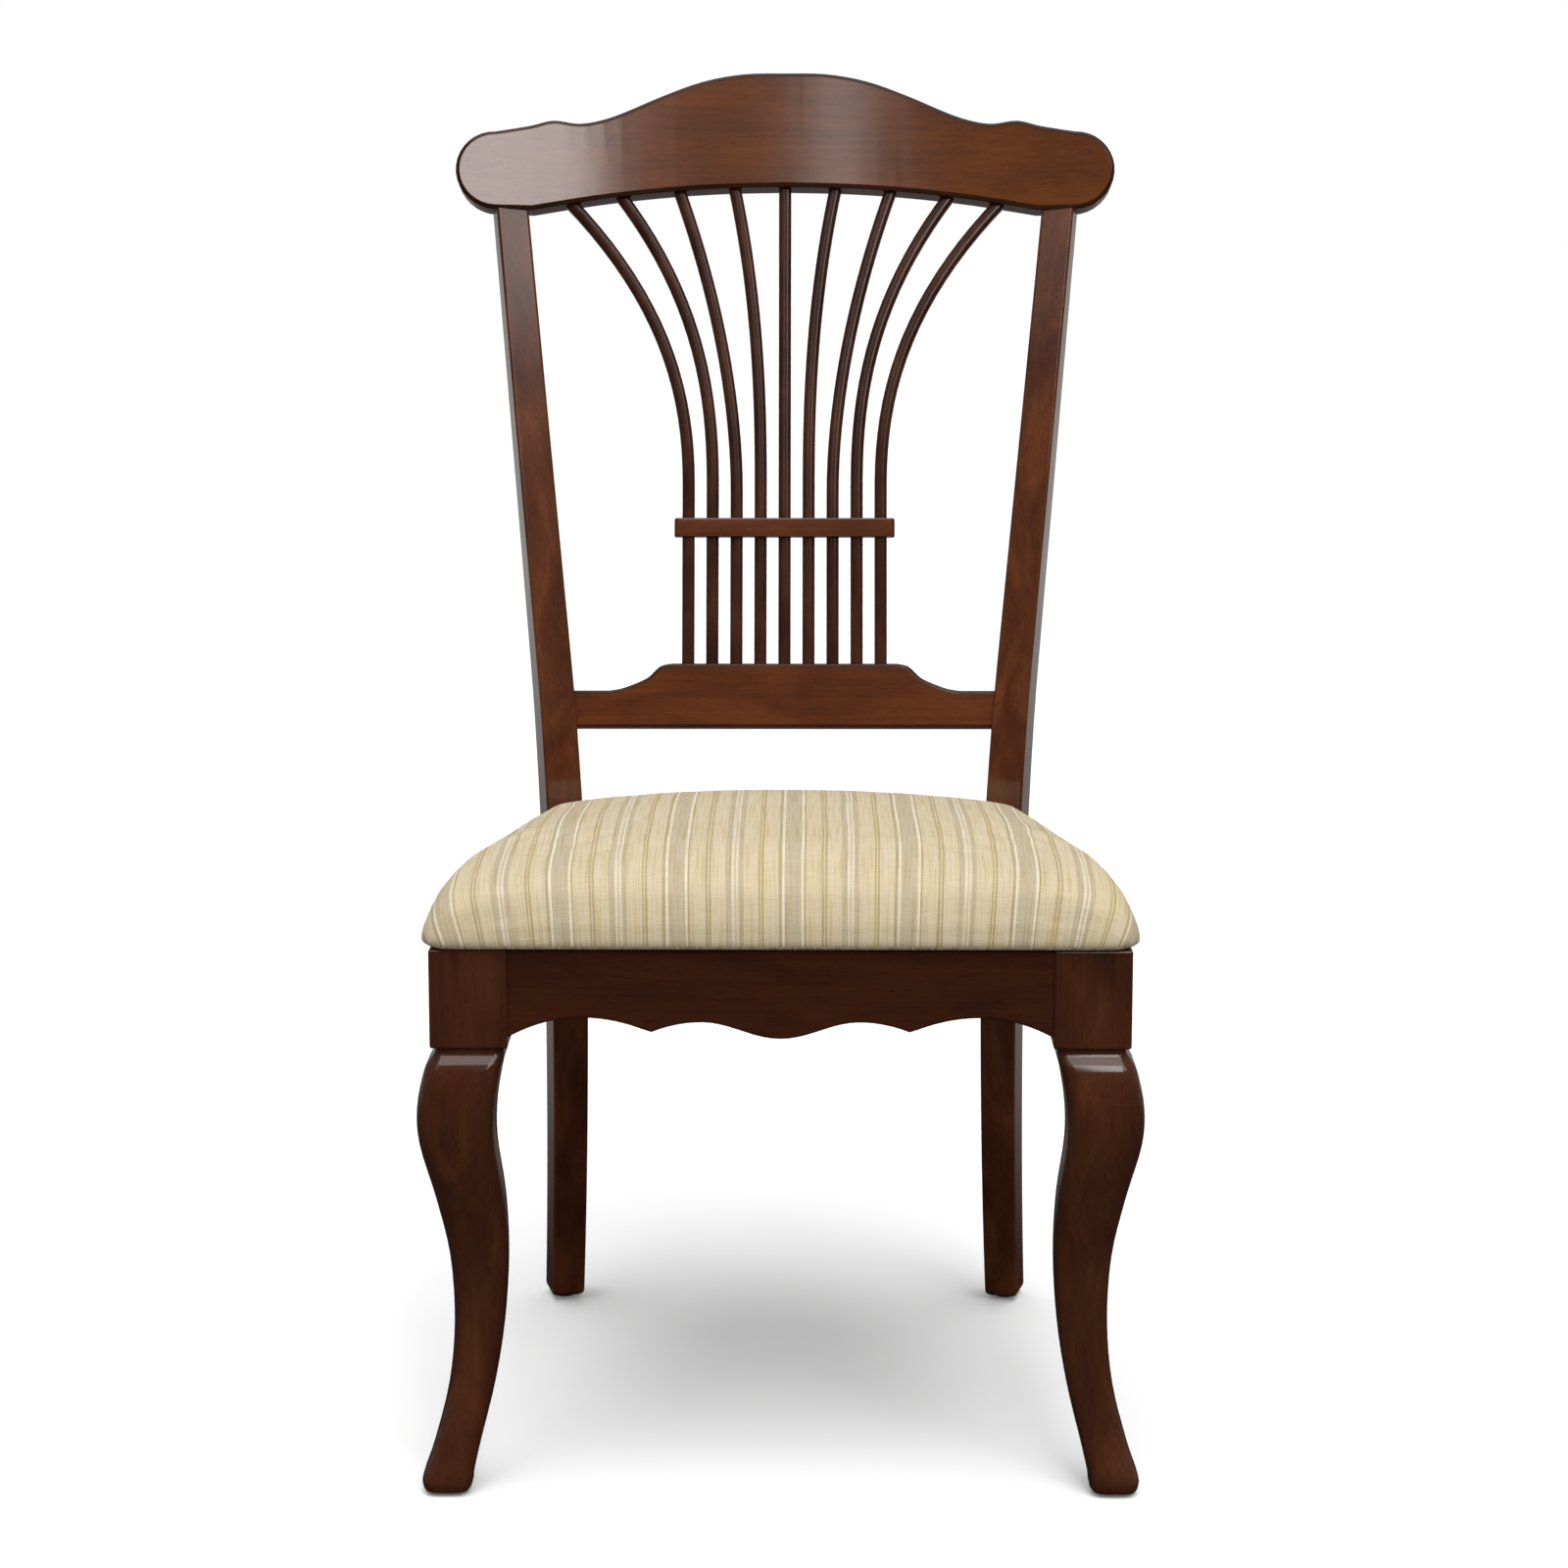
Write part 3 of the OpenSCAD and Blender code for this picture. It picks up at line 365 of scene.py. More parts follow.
def board(name, outline, front, back, front_round, back_round):
    """Board sawn to an outline in the XZ plane, between two depths, with its front
    and back rims rounded over."""
    piece = start_piece(name)
    bpy.ops.mesh.merge(type="CENTER")
    first = Vector((outline[0][0], front, outline[0][1]))
    bpy.ops.transform.translate(value=first)
    for here, there in zip(outline, outline[1:]):
        step = (there[0] - here[0], 0, there[1] - here[1])
        bpy.ops.mesh.extrude_region_move(TRANSFORM_OT_translate={"value": step})
    bpy.ops.mesh.select_all(action="SELECT")
    bpy.ops.mesh.edge_face_add()
    bpy.ops.mesh.extrude_region_move(TRANSFORM_OT_translate={"value": (0, back - front, 0)})
    for depth, radius in ((front, front_round), (back, back_round)):
        select_edges(piece, lambda a, b, edge: max(abs(a.y - depth), abs(b.y - depth)) < MERGE_DISTANCE)
        bpy.ops.mesh.bevel(offset=radius, segments=ROUND_STEPS, affect="EDGES", clamp_overlap=True)
    return piece


def stain_board(piece, beech):
    """Stains a board's faces, and colours its rounded rims darker: partly the stain taking darker there,
    partly painted shade.
    """
    piece.data.materials.append(beech)
    piece.data.materials.append(rim_beech_stain_and_shade)
    bpy.ops.mesh.select_mode(type="FACE")
    bpy.ops.mesh.select_all(action="DESELECT")
    mesh = bmesh.from_edit_mesh(piece.data)
    for face in mesh.faces:
        face.select_set(abs(face.normal.y) < FLAT_FACE)
    bmesh.update_edit_mesh(piece.data)
    piece.active_material_index = 1
    bpy.ops.object.material_slot_assign()


def lean_back(piece):
    """Leans a piece of the back, drawn upright from the posts' bend, into place."""
    pick(piece)
    piece.rotation_euler = (-BACK_RAKE, 0, 0)
    piece.location = (0, FRAME_DEPTH - MIDDLE_Y, BEND_HEIGHT)
    bpy.ops.object.transform_apply(location=True, rotation=True, scale=True)


low_rail_height = BEND_HEIGHT + (LOW_RAIL_LOW + LOW_RAIL_END_HEIGHT / 2) * math.cos(BACK_RAKE)
low_rail_end = post_face(low_rail_height).x - post_size(low_rail_height).x / 2 + LOW_RAIL_THICKNESS / 4
low_rail_top = LOW_RAIL_LOW + LOW_RAIL_END_HEIGHT
shoulder = smooth_line([(LOW_RAIL_FLAT + s * LOW_RAIL_RUN, low_rail_top + r * LOW_RAIL_RISE)
                        for s, r in SHOULDER_SHARES])
low_rail_outline = ([(-low_rail_end, LOW_RAIL_LOW), (low_rail_end, LOW_RAIL_LOW)]
                    + [(low_rail_end, low_rail_top)] + shoulder[::-1]
                    + [(-p.x, p.y) for p in shoulder] + [(-low_rail_end, low_rail_top)])
low_rail = board("lower_back_rail_shaped", low_rail_outline, LOW_RAIL_BACK,
                 LOW_RAIL_BACK + LOW_RAIL_THICKNESS, LOW_RAIL_ROUND, BOARD_ROUND)
rail_beech = stained_beech("stained_beech_rails", "x", "#522a16", "#5f3219", "#6c391d")
# The rims are darker than the faces: partly the stain taking darker on them, partly painted shade for the
# dark room their rounds turn to
rim_beech_stain_and_shade = stained_beech("stained_beech_rims_and_painted_shade", "x", "#2b150c", "#3a1d10", "#472514", lacquer=0.35)
stain_board(low_rail, rail_beech)
finish_mesh(low_rail)
lean_back(low_rail)
stand_for(low_rail, "stained_wood", "lower_back_rail")

# Slats
# Nine thin slats, steam-bent and rounded over. They stand straight from the
# lower back rail and spread like a sheaf to their mortises in the crest rail.
SLAT_COUNT = 9
SLAT_PITCH = 0.0204
SLAT_WIDTH = 0.0105
SLAT_DEPTH = 0.012
SLAT_ROUND = 0.0032
SLAT_TENON = 0.004
SLAT_SECTIONS = 30
SHEAF_TOP_WIDTH = 0.351
FLARE_START = 0.245
# For the middle slat and the four on each side of it: how much of the outermost
# slat's flare it has at the crest rail, and how late it bends
FLARE_SHARES = [0, 0.195, 0.455, 0.727, 1]
FLARE_POWERS = [1, 2.4, 1.85, 2.4, 2.3]
SLAT_COVER = 0.007
CREST_PROUD = 0.003
CREST_CURVE = 1.970
CREST_ARCH_WIDTH = 0.430
CREST_ARCH_RISE = 0.0225
slat_low = LOW_RAIL_LOW + LOW_RAIL_END_HEIGHT + LOW_RAIL_RISE
slat_foot_y = LOW_RAIL_BACK + LOW_RAIL_THICKNESS / 2
flare_width = SHEAF_TOP_WIDTH / 2 - SLAT_COUNT // 2 * SLAT_PITCH
post_top_x = post_face(CREST_LOW_HEIGHT).x + POST_TOP_SIZE.y / 2 * math.sin(POST_TURN)
crest_curve_y = -CREST_PROUD - math.sqrt(CREST_CURVE ** 2 - post_top_x ** 2)


def crest_front(x):
    """Depth at which the crest rail's hollow front lies."""
    return crest_curve_y + math.sqrt(CREST_CURVE ** 2 - x ** 2)


def crest_under(x):
    """Height of the arch under the crest rail."""
    return CREST_LOW + CREST_ARCH_RISE * (1 - (2 * x / CREST_ARCH_WIDTH) ** 2)


def slat_x(i, height):
    """Place of a slat's middle across the back."""
    climb = max(0, (height - FLARE_START) / (CREST_LOW - FLARE_START))
    side = (i > 0) - (i < 0)
    return i * SLAT_PITCH + side * FLARE_SHARES[abs(i)] * flare_width * climb ** FLARE_POWERS[abs(i)]


def slat_section(i, height):
    step = (CREST_LOW - slat_low) / SLAT_SECTIONS
    lean = math.atan2(slat_x(i, height + step / 2) - slat_x(i, height - step / 2), step)
    head_y = crest_front(slat_x(i, CREST_LOW)) + SLAT_COVER + SLAT_DEPTH / 2
    y = blend(slat_foot_y, head_y, (height - slat_low) / (CREST_LOW - slat_low))
    return (Vector((slat_x(i, height), y, height)), SLAT_WIDTH, SLAT_DEPTH, SLAT_ROUND, 0, lean)


slat_beech = stained_beech("stained_beech_slats", "z", "#301910", "#402318", "#4e2c1b", lacquer=0.45)
for i in range(-(SLAT_COUNT // 2), SLAT_COUNT // 2 + 1):
    number = i + SLAT_COUNT // 2 + 1
    low = slat_low - SLAT_TENON
    high = crest_under(slat_x(i, CREST_LOW)) + SLAT_TENON
    slat = skin(f"slat_{number}_shaped", [slat_section(i, blend(low, high, k / SLAT_SECTIONS))
                                          for k in range(SLAT_SECTIONS + 1)])
    lean_back(slat)
    slat.data.materials.append(slat_beech)
    stand_for(slat, "stained_wood", f"slat_{number}")

# Band
# A short beech bar with rounded ends, grooved behind to fit over the slats and
# glued to them, so that it ties the sheaf.
BAND_WIDTH = 0.187
BAND_HEIGHT = 0.016
BAND_LOW = 0.2045
BAND_PROUD = 0.0035
BAND_ROUND = 0.0016
band_depth = BAND_PROUD + SLAT_DEPTH / 2
band_front = slat_section(SLAT_COUNT // 2, BAND_LOW + BAND_HEIGHT / 2)[0].y - SLAT_DEPTH / 2 - BAND_PROUD
band_end_round = band_depth / 2.5
band = start_piece("sheaf_band_shaped")
bpy.ops.mesh.delete(type="VERT")
band_middle = Vector((0, band_front + band_depth / 2, BAND_LOW + BAND_HEIGHT / 2))
bpy.ops.mesh.primitive_cube_add(size=1, location=band_middle)
bpy.ops.transform.resize(value=(BAND_WIDTH, band_depth, BAND_HEIGHT), center_override=band_middle)
select_edges(band, lambda a, b, edge: abs(a.z - b.z) > BAND_HEIGHT / 2 and a.y < band_middle.y)
bpy.ops.mesh.bevel(offset=band_end_round, segments=ROUND_STEPS * 2, affect="EDGES")
select_edges(band, lambda a, b, edge: abs(a.z - b.z) < BAND_ROUND and min(a.y, b.y) < band_middle.y)
bpy.ops.mesh.bevel(offset=BAND_ROUND, segments=ROUND_STEPS, affect="EDGES")
finish_mesh(band)
lean_back(band)
band.data.materials.append(rail_beech)
stand_for(band, "stained_wood", "sheaf_band")

# Crest rail
# A thick beech board sawn to a raised, hollowed crown with rounded ends. Its
# front is scooped to fit a back, and its rims are rounded over all round.
CREST_WIDTH = 0.560
CREST_THICKNESS = 0.030
CREST_FRONT_ROUND = 0.0035
CREST_BACK_ROUND = 0.004
# The crown from its middle outwards: shares of the half width and of its rise over the ends
CREST_TOP_SHARES = [(0, 1), (0.125, 0.986), (0.25, 0.863), (0.375, 0.62), (0.5, 0.33), (0.571, 0.205),
                    (0.632, 0.156), (0.707, 0.196), (0.779, 0.1)]
CREST_END_ANGLES = (80, -90)
CREST_END_STEPS = 16
CREST_ARCH_SHARES = [1, 0.75, 0.5, 0.25, 0]
CREST_SLICES = 36
crest_half = CREST_WIDTH / 2
crest_end_round = CREST_END_HEIGHT / 2
crest_end_x = crest_half - crest_end_round
crest_end_z = CREST_LOW + crest_end_round
crest_upper = smooth_line(
    [(x * crest_half, CREST_LOW + CREST_END_HEIGHT + z * (CREST_HEIGHT - CREST_END_HEIGHT))
     for x, z in CREST_TOP_SHARES] + [(crest_end_x, CREST_LOW + CREST_END_HEIGHT)])
crest_turns = [math.radians(blend(*CREST_END_ANGLES, k / CREST_END_STEPS))
               for k in range(CREST_END_STEPS + 1)]
crest_end = [Vector((crest_end_x + crest_end_round * math.cos(a),
                     crest_end_z + crest_end_round * math.sin(a))) for a in crest_turns]
crest_arch = smooth_line([(s * CREST_ARCH_WIDTH / 2, crest_under(s * CREST_ARCH_WIDTH / 2))
                          for s in CREST_ARCH_SHARES])
crest_right = crest_upper + crest_end + crest_arch
crest_outline = crest_right + [(-p.x, p.y) for p in crest_right[-2:0:-1]]
crest = board("crest_rail_shaped", crest_outline, 0, CREST_THICKNESS, CREST_FRONT_ROUND, CREST_BACK_ROUND)
crest_beech = stained_beech("stained_beech_crest", "x", "#5c341d", "#65381c", "#6e3d1d", haze=0.1)
stain_board(crest, crest_beech)
bpy.ops.mesh.select_mode(type="VERT")
for k in range(1, CREST_SLICES):
    bpy.ops.mesh.select_all(action="SELECT")
    slice_x = blend(-crest_half, crest_half, k / CREST_SLICES)
    bpy.ops.mesh.bisect(plane_co=(slice_x, 0, 0), plane_no=(1, 0, 0))
bpy.ops.object.mode_set(mode="OBJECT")
for vertex in crest.data.vertices:
    vertex.co.y += crest_front(vertex.co.x)
finish_mesh(crest)
lean_back(crest)
stand_for(crest, "stained_wood", "crest_rail")

# Front legs
# Cabriole legs sawn from square beech and shaved round, with a square block
# left at the top for the seat rails' mortises.
LEG_BLOCK = 0.058
LEG_BLOCK_HEIGHT = 0.075
LEG_BLOCK_ROUND = 0.002
FRONT_WIDTH = 0.520
# From the glide up: share of the height to the knee, how far out and how wide as
# shares of the block, and the corners' round as a share of that width
CABRIOLE_SHARES = [
    (0, 0.362, 0.56, 0.3), (0.013, 0.356, 0.64, 0.3), (0.035, 0.345, 0.65, 0.33), (0.1, 0.235, 0.605, 0.38),
    (0.226, 0.05, 0.6, 0.42), (0.362, -0.05, 0.655, 0.42), (0.513, -0.059, 0.752, 0.36),
    (0.652, 0.033, 0.88, 0.3), (0.783, 0.172, 0.972, 0.27), (0.87, 0.178, 1, 0.25), (0.95, 0.092, 0.98, 0.2),
    (0.975, 0.03, 0.945, 0.17), (0.99, 0, 0.895, 0.13), (1.02, 0, 0.88, 0.12)]
knee_height = RAIL_TOP - LEG_BLOCK_HEIGHT
leg_middle = Vector((FRONT_WIDTH / 2 - LEG_BLOCK / 2, LEG_BLOCK / 2 - MIDDLE_Y, 0))
leg_sections = []
for row in smooth_line(CABRIOLE_SHARES):
    out = row[1] * LEG_BLOCK
    width = row[2] * LEG_BLOCK
    middle = leg_middle + Vector((out, -out, blend(GLIDE_HEIGHT, knee_height, row[0])))
    leg_sections.append((middle, width, width, row[3] * width, 0, 0))
leg_right = skin("front_leg_right_shaped", leg_sections)
edit(leg_right)
block_middle = leg_middle + Vector((0, 0, knee_height + LEG_BLOCK_HEIGHT / 2))
bpy.ops.mesh.select_all(action="DESELECT")
bpy.ops.mesh.primitive_cube_add(size=1, location=block_middle)
bpy.ops.transform.resize(value=(LEG_BLOCK, LEG_BLOCK, LEG_BLOCK_HEIGHT), center_override=block_middle)
bpy.ops.mesh.bevel(offset=LEG_BLOCK_ROUND, segments=ROUND_STEPS, affect="EDGES")
finish_mesh(leg_right)
leg_left = mirrored(leg_right, "front_leg_left_shaped")
leg_beech = stained_beech("stained_beech_legs", "z", "#3e2013", "#492616", "#55301b", lacquer=0.8)
for leg, side in ((leg_right, "right"), (leg_left, "left")):
    leg.data.materials.append(leg_beech)
    stand_for(leg, "stained_wood", "front_leg_" + side)

# Front rail
# A beech board tenoned into the leg blocks under the front of the seat. Its
# lower edge is sawn to scallops and sanded. Its face has the wood's darkest colours: painted shade from the
# seat above.
APRON_HEIGHT = 0.068
SCALLOP_DEPTH = 0.016
APRON_BACK = 0.003
RAIL_THICKNESS = 0.022
APRON_STEPS = 32
# The lobes of the lower edge: for each, the shares of the half length and of the
# depth where it starts and ends
LOBE_SHARES = [(0.287, 0, 0.785, 0), (0.287, 0.472, 0.785, 0.3), (0.725, 0.472, 1, 0.3), (0.725, 1, 1, 0)]


def scallop(place):
    """Height of the lower edge above its lowest points, at a share of the half length."""
    lobe = next(row for row in LOBE_SHARES if min(row[:2]) <= place <= max(row[:2]))
    fall = abs((place - lobe[0]) / (lobe[1] - lobe[0]))
    share = (1 - math.cos(math.pi * fall)) / 2 if lobe is LOBE_SHARES[0] else fall ** 2
    return SCALLOP_DEPTH * blend(lobe[2], lobe[3], share)


apron_half = FRONT_WIDTH / 2 - LEG_BLOCK + LEG_BLOCK_ROUND
apron_edge = [(apron_half * k / APRON_STEPS, RAIL_TOP - APRON_HEIGHT + scallop(k / APRON_STEPS))
              for k in range(APRON_STEPS + 1)]
apron_outline = ([(apron_half, RAIL_TOP), (-apron_half, RAIL_TOP)]
                 + [(-x, z) for x, z in apron_edge[:0:-1]] + apron_edge)
apron_front = APRON_BACK - MIDDLE_Y
apron = board("front_rail_shaped", apron_outline, apron_front, apron_front + RAIL_THICKNESS,
              BOARD_ROUND, BOARD_ROUND)
# The apron's colours are darker than the rest of the wood's: painted shade under the seat's overhang
apron_beech_painted_shade = stained_beech("stained_beech_apron_painted_shade", "x", "#391c0f", "#411f10", "#492411")
stain_board(apron, apron_beech_painted_shade)
finish_mesh(apron)
stand_for(apron, "stained_wood", "front_rail")

# Side and back rails
# Plain beech boards with their long edges eased, tenoned into the leg blocks
# and the posts.
SHARP_EDGE = math.radians(60)
FLAT_EDGE = math.radians(1)
side_rail_beech = stained_beech("stained_beech_side_rails", "y", "#522a16", "#5f3219", "#6c391d")
for node, rail_stain in (("side_rail_left", side_rail_beech), ("side_rail_right", side_rail_beech),
                         ("back_rail", rail_beech)):
    rail = copy_of(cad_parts[node], node + "_shaped")
    bpy.ops.mesh.remove_doubles(threshold=MERGE_DISTANCE)
    bpy.ops.mesh.dissolve_limited(angle_limit=FLAT_EDGE)
    low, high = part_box(node)
    long_side = max(high.x - low.x, high.y - low.y) / 2
    select_edges(rail, lambda a, b, edge: (a - b).length > long_side
                 and edge.calc_face_angle(0) > SHARP_EDGE)
    bpy.ops.mesh.bevel(offset=BOARD_ROUND, segments=ROUND_STEPS, affect="EDGES")
    finish_mesh(rail)
    rail.data.materials.append(rail_stain)
    stand_for(rail, "stained_wood", node)

# Corner blocks, seat board and dowels
# Bare beech blocks glued and screwed into the corners of the seat frame, the
# birch plywood board that carries the seat, and the beech dowels of the crest.
# Bare beech is the same wood with no stain or lacquer, so it is pale and dull.


def give_material(material, *nodes):
    """Gives nodes that show as they are their material."""
    for node in nodes:
        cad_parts[node].data.materials.clear()
        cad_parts[node].data.materials.append(material)


raw_beech = stained_beech("bare_beech", "x", "#94704a", "#b08a5c", "#c09a6c", lacquer=0)
give_material(raw_beech, "corner_block_front_left", "corner_block_front_right", "corner_block_rear_left",
              "corner_block_rear_right", "seat_board", "crest_dowels")

# Screws and glides
# Turned screws that hold the corner blocks and the seat, and pressed glides
# nailed under the feet. Both are zinc-plated steel: a pale, bluish, fine satin.
ZINC_SPOTS_PER_METRE = 900
zinc, zinc_shader = new_material("zinc_plated_steel")
zinc_place = add_node(zinc, "ShaderNodeTexCoord").outputs["Object"]
zinc_spots = add_node(zinc, "ShaderNodeTexNoise", {
    "Vector": zinc_place, "Scale": ZINC_SPOTS_PER_METRE, "Detail": 2.0}).outputs["Fac"]
zinc_rough = add_node(zinc, "ShaderNodeMapRange", {
    "Value": zinc_spots, "To Min": 0.25, "To Max": 0.45}).outputs["Result"]
zinc_tint = add_node(zinc, "ShaderNodeValToRGB", {"Fac": zinc_spots},
                     [(0.3, "#9a9fa3"), (0.7, "#b9bdbf")]).outputs["Color"]
set_inputs(zinc, zinc_shader, {"Base Color": zinc_tint, "Roughness": zinc_rough, "Metallic": 1})
give_material(zinc, "rail_screws", "seat_screws", "glide_front_left", "glide_front_right", "glide_rear_left",
              "glide_rear_right")

# Seat cushion
# Foam on the board under a tight cover of striped furnishing cloth. The cloth
# is pulled over the edges and stapled under the board, so the crown swells and
# the front and sides roll under.
SEAT_VOXEL = 0.005
SEAT_SHRINK = 0.0005
SEAT_PRESSURE = 1
SEAT_FRAMES = 20
SEAT_CAP = 0.005
SEAT_GRIP_HEIGHT = 0.016
SEAT_CORE_HEIGHT = 0.020
HEM_LEVEL = 0.0002
HEM_FACING = -0.9
UNDER_FACING = -0.7
LINING_EASE = 0.002
POST_NOTCH = Vector((0.150, 0.100))
CROWN_HALF = Vector((0.150, 0.120))
CROWN_HEIGHT = 0.040
seat_low, seat_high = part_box("seat_cover")
seat_core = (seat_low + seat_high) / 2
seat_core.z = seat_low.z + SEAT_CORE_HEIGHT


def select_faces(piece, test):
    """Selects the faces whose middle and normal pass a test."""
    bpy.ops.mesh.select_mode(type="FACE")
    bpy.ops.mesh.select_all(action="DESELECT")
    mesh = bmesh.from_edit_mesh(piece.data)
    for face in mesh.faces:
        if test(face.calc_center_median(), face.normal):
            face.select_set(True)
    bmesh.update_edit_mesh(piece.data)


seat = copy_of(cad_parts["seat_cover"], "seat_cushion")
bpy.ops.mesh.remove_doubles(threshold=MERGE_DISTANCE)
# Only the outside of the cover is kept: its inside and its hem go, and the
# opening under the seat is closed
select_faces(seat, lambda middle, normal: normal.dot(middle - seat_core) < 0
             or (normal.z < HEM_FACING and middle.z < seat_low.z + HEM_LEVEL))
bpy.ops.mesh.delete(type="FACE")
bpy.ops.mesh.select_mode(type="VERT")
bpy.ops.mesh.select_all(action="SELECT")
bpy.ops.mesh.fill_holes(sides=0)
bpy.ops.mesh.select_all(action="SELECT")
bpy.ops.mesh.normals_make_consistent(inside=False)
bpy.ops.object.mode_set(mode="OBJECT")
bpy.ops.object.modifier_add(type="REMESH")
remesh = seat.modifiers[-1]
remesh.mode = "VOXEL"
remesh.voxel_size = SEAT_VOXEL
bpy.ops.object.modifier_apply(modifier=remesh.name)
edit(seat)
bpy.ops.transform.shrink_fatten(value=-SEAT_SHRINK)
bpy.ops.object.mode_set(mode="OBJECT")

at_rest = [(vertex.co.copy(), vertex.normal.copy()) for vertex in seat.data.vertices]
grip = seat.vertex_groups.new(name="grip")
grip.add([i for i, (co, normal) in enumerate(at_rest) if co.z < seat_low.z + SEAT_GRIP_HEIGHT
          or (abs(co.x) > POST_NOTCH.x and co.y > POST_NOTCH.y)], 1, "ADD")
bpy.ops.object.modifier_add(type="CLOTH")
pull = seat.modifiers[-1]
pull.settings.use_pressure = True
pull.settings.uniform_pressure_force = SEAT_PRESSURE
pull.settings.effector_weights.gravity = 0
pull.settings.vertex_group_mass = grip.name
pull.point_cache.frame_start = 1
pull.point_cache.frame_end = SEAT_FRAMES
for step in range(1, SEAT_FRAMES + 1):
    bpy.context.scene.frame_set(step)
bpy.ops.object.modifier_apply(modifier=pull.name)
seat.vertex_groups.clear()
# The foam holds the cloth out, so what the cloth pulls inwards is taken back
for vertex, (rest, normal) in zip(seat.data.vertices, at_rest):
    move = vertex.co - rest
    move -= normal * min(0, move.dot(normal))
    vertex.co = rest + move.normalized() * min(move.length, SEAT_CAP)
bpy.context.scene.frame_set(1)

# The underside is let into the board where the dust cover lies, so that the
# lining shows from below
for vertex in seat.data.vertices:
    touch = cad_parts["dust_cover"].closest_point_on_mesh(vertex.co)[1]
    if (touch - vertex.co).length < LINING_EASE:
        vertex.co.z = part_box("seat_board")[0].z + LINING_EASE

# The cloth lies flat in its own coordinates, in metres, with the stripes along
# V, so that they run over the crown and down the front as woven
edit(seat)
select_faces(seat, lambda middle, normal: normal.z < UNDER_FACING
             and middle.z < seat_low.z + SEAT_GRIP_HEIGHT)
bpy.ops.mesh.region_to_loop()
bpy.ops.mesh.mark_seam(clear=False)
bpy.ops.mesh.select_all(action="SELECT")
bpy.ops.uv.unwrap(method="MINIMUM_STRETCH", iterations=30, margin=0)
bpy.ops.object.mode_set(mode="OBJECT")
seat.data.uv_layers.active.name = "threads"
threads = seat.data.uv_layers["threads"].uv
pairs = [(seat.data.vertices[loop.vertex_index].co, threads[loop.index].vector.copy())
         for loop in seat.data.loops]
crown = [(co, uv) for co, uv in pairs
         if abs(co.x) < CROWN_HALF.x and abs(co.y) < CROWN_HALF.y and co.z > seat_low.z + CROWN_HEIGHT]
centre_co = sum((co.xy for co, uv in crown), Vector((0, 0))) / len(crown)
centre_uv = sum((uv for co, uv in crown), Vector((0, 0))) / len(crown)
# Turn and scale that lay the middle of the crown over its own X and Y
along = sum((co.xy - centre_co).dot(uv - centre_uv) for co, uv in crown)
across = sum((uv - centre_uv).cross(co.xy - centre_co) for co, uv in crown)
spread = sum((uv - centre_uv).length_squared for co, uv in crown)
turn = Vector((along, across)) / spread
for loop in threads:
    step = loop.vector - centre_uv
    loop.vector = centre_co + Vector((turn.x * step.x - turn.y * step.y, turn.y * step.x + turn.x * step.y))

bpy.ops.object.modifier_add(type="SUBSURF")
smoothing = seat.modifiers[-1]
smoothing.levels = 1
smoothing.render_levels = 1
bpy.ops.object.modifier_apply(modifier=smoothing.name)
bpy.ops.object.shade_smooth()

# Furnishing cloth: a cotton and viscose stripe with a dull sheen. Cream ground
# with fine yellow warp threads, taupe bands edged by raised white cords, and
# pairs of thin brown lines. The weave is drawn at about three times its real
# size, which is too fine to show.
STRIPE_REPEAT = 0.0865
STRIPE_START = 0.001
STRIPE_DRIFT = 0.0008
DRIFTS_PER_METRE = 7
WARP_PITCH = 0.0012
WARP_RUN = 60 * WARP_PITCH
WEFT_PITCH = 0.0011
WEFT_RUN = 14 * WEFT_PITCH
# Where each band, cord or line of the stripe starts, as a share of the repeat
STRIPE_SHARES = [
    (0, "#e1d5c0"), (0.020, "#beb096"), (0.166, "#e1d5c0"), (0.188, "#b0a281"), (0.206, "#cebfa2"),
    (0.343, "#b1a07a"), (0.356, "#ccbda0"), (0.374, "#b1a07a"), (0.388, "#d0c1a5"), (0.512, "#bdaf94"),
    (0.564, "#dacdb8"), (0.586, "#c7b7a3"), (0.603, "#dacdb8"), (0.625, "#bcae92"), (0.665, "#cfc0a3"),
    (0.797, "#b2a071"), (0.810, "#ccbd9b"), (0.828, "#b2a071"), (0.842, "#d0c1a5"), (0.970, "#b2a485")]
cloth, cloth_shader = new_material("striped_furnishing_cloth")
cloth_uv = add_node(cloth, "ShaderNodeUVMap", uv_map="threads").outputs["UV"]
cloth_drift = add_node(cloth, "ShaderNodeTexNoise", {
    "Vector": cloth_uv, "Scale": DRIFTS_PER_METRE, "Detail": 0.0}, noise_dimensions="2D").outputs["Fac"]
cloth_axes = add_node(cloth, "ShaderNodeSeparateXYZ", {"Vector": cloth_uv}).outputs
cloth_shift = add_node(cloth, "ShaderNodeMapRange", {
    "Value": cloth_drift, "To Min": -STRIPE_DRIFT - STRIPE_START, "To Max": STRIPE_DRIFT - STRIPE_START}
    ).outputs["Result"]
cloth_across = add_node(cloth, "ShaderNodeMath", {0: cloth_axes["X"], 1: cloth_shift},
                        operation="ADD").outputs[0]
cloth_repeats = add_node(cloth, "ShaderNodeMath", {0: cloth_across, 1: STRIPE_REPEAT},
                         operation="DIVIDE").outputs[0]
cloth_share = add_node(cloth, "ShaderNodeMath", {0: cloth_repeats, 1: 1.0, 2: 0.0},
                       operation="WRAP").outputs[0]
stripe_ramp = add_node(cloth, "ShaderNodeValToRGB", {"Fac": cloth_share}, STRIPE_SHARES)
stripe_ramp.color_ramp.interpolation = "CONSTANT"
stripes = stripe_ramp.outputs["Color"]
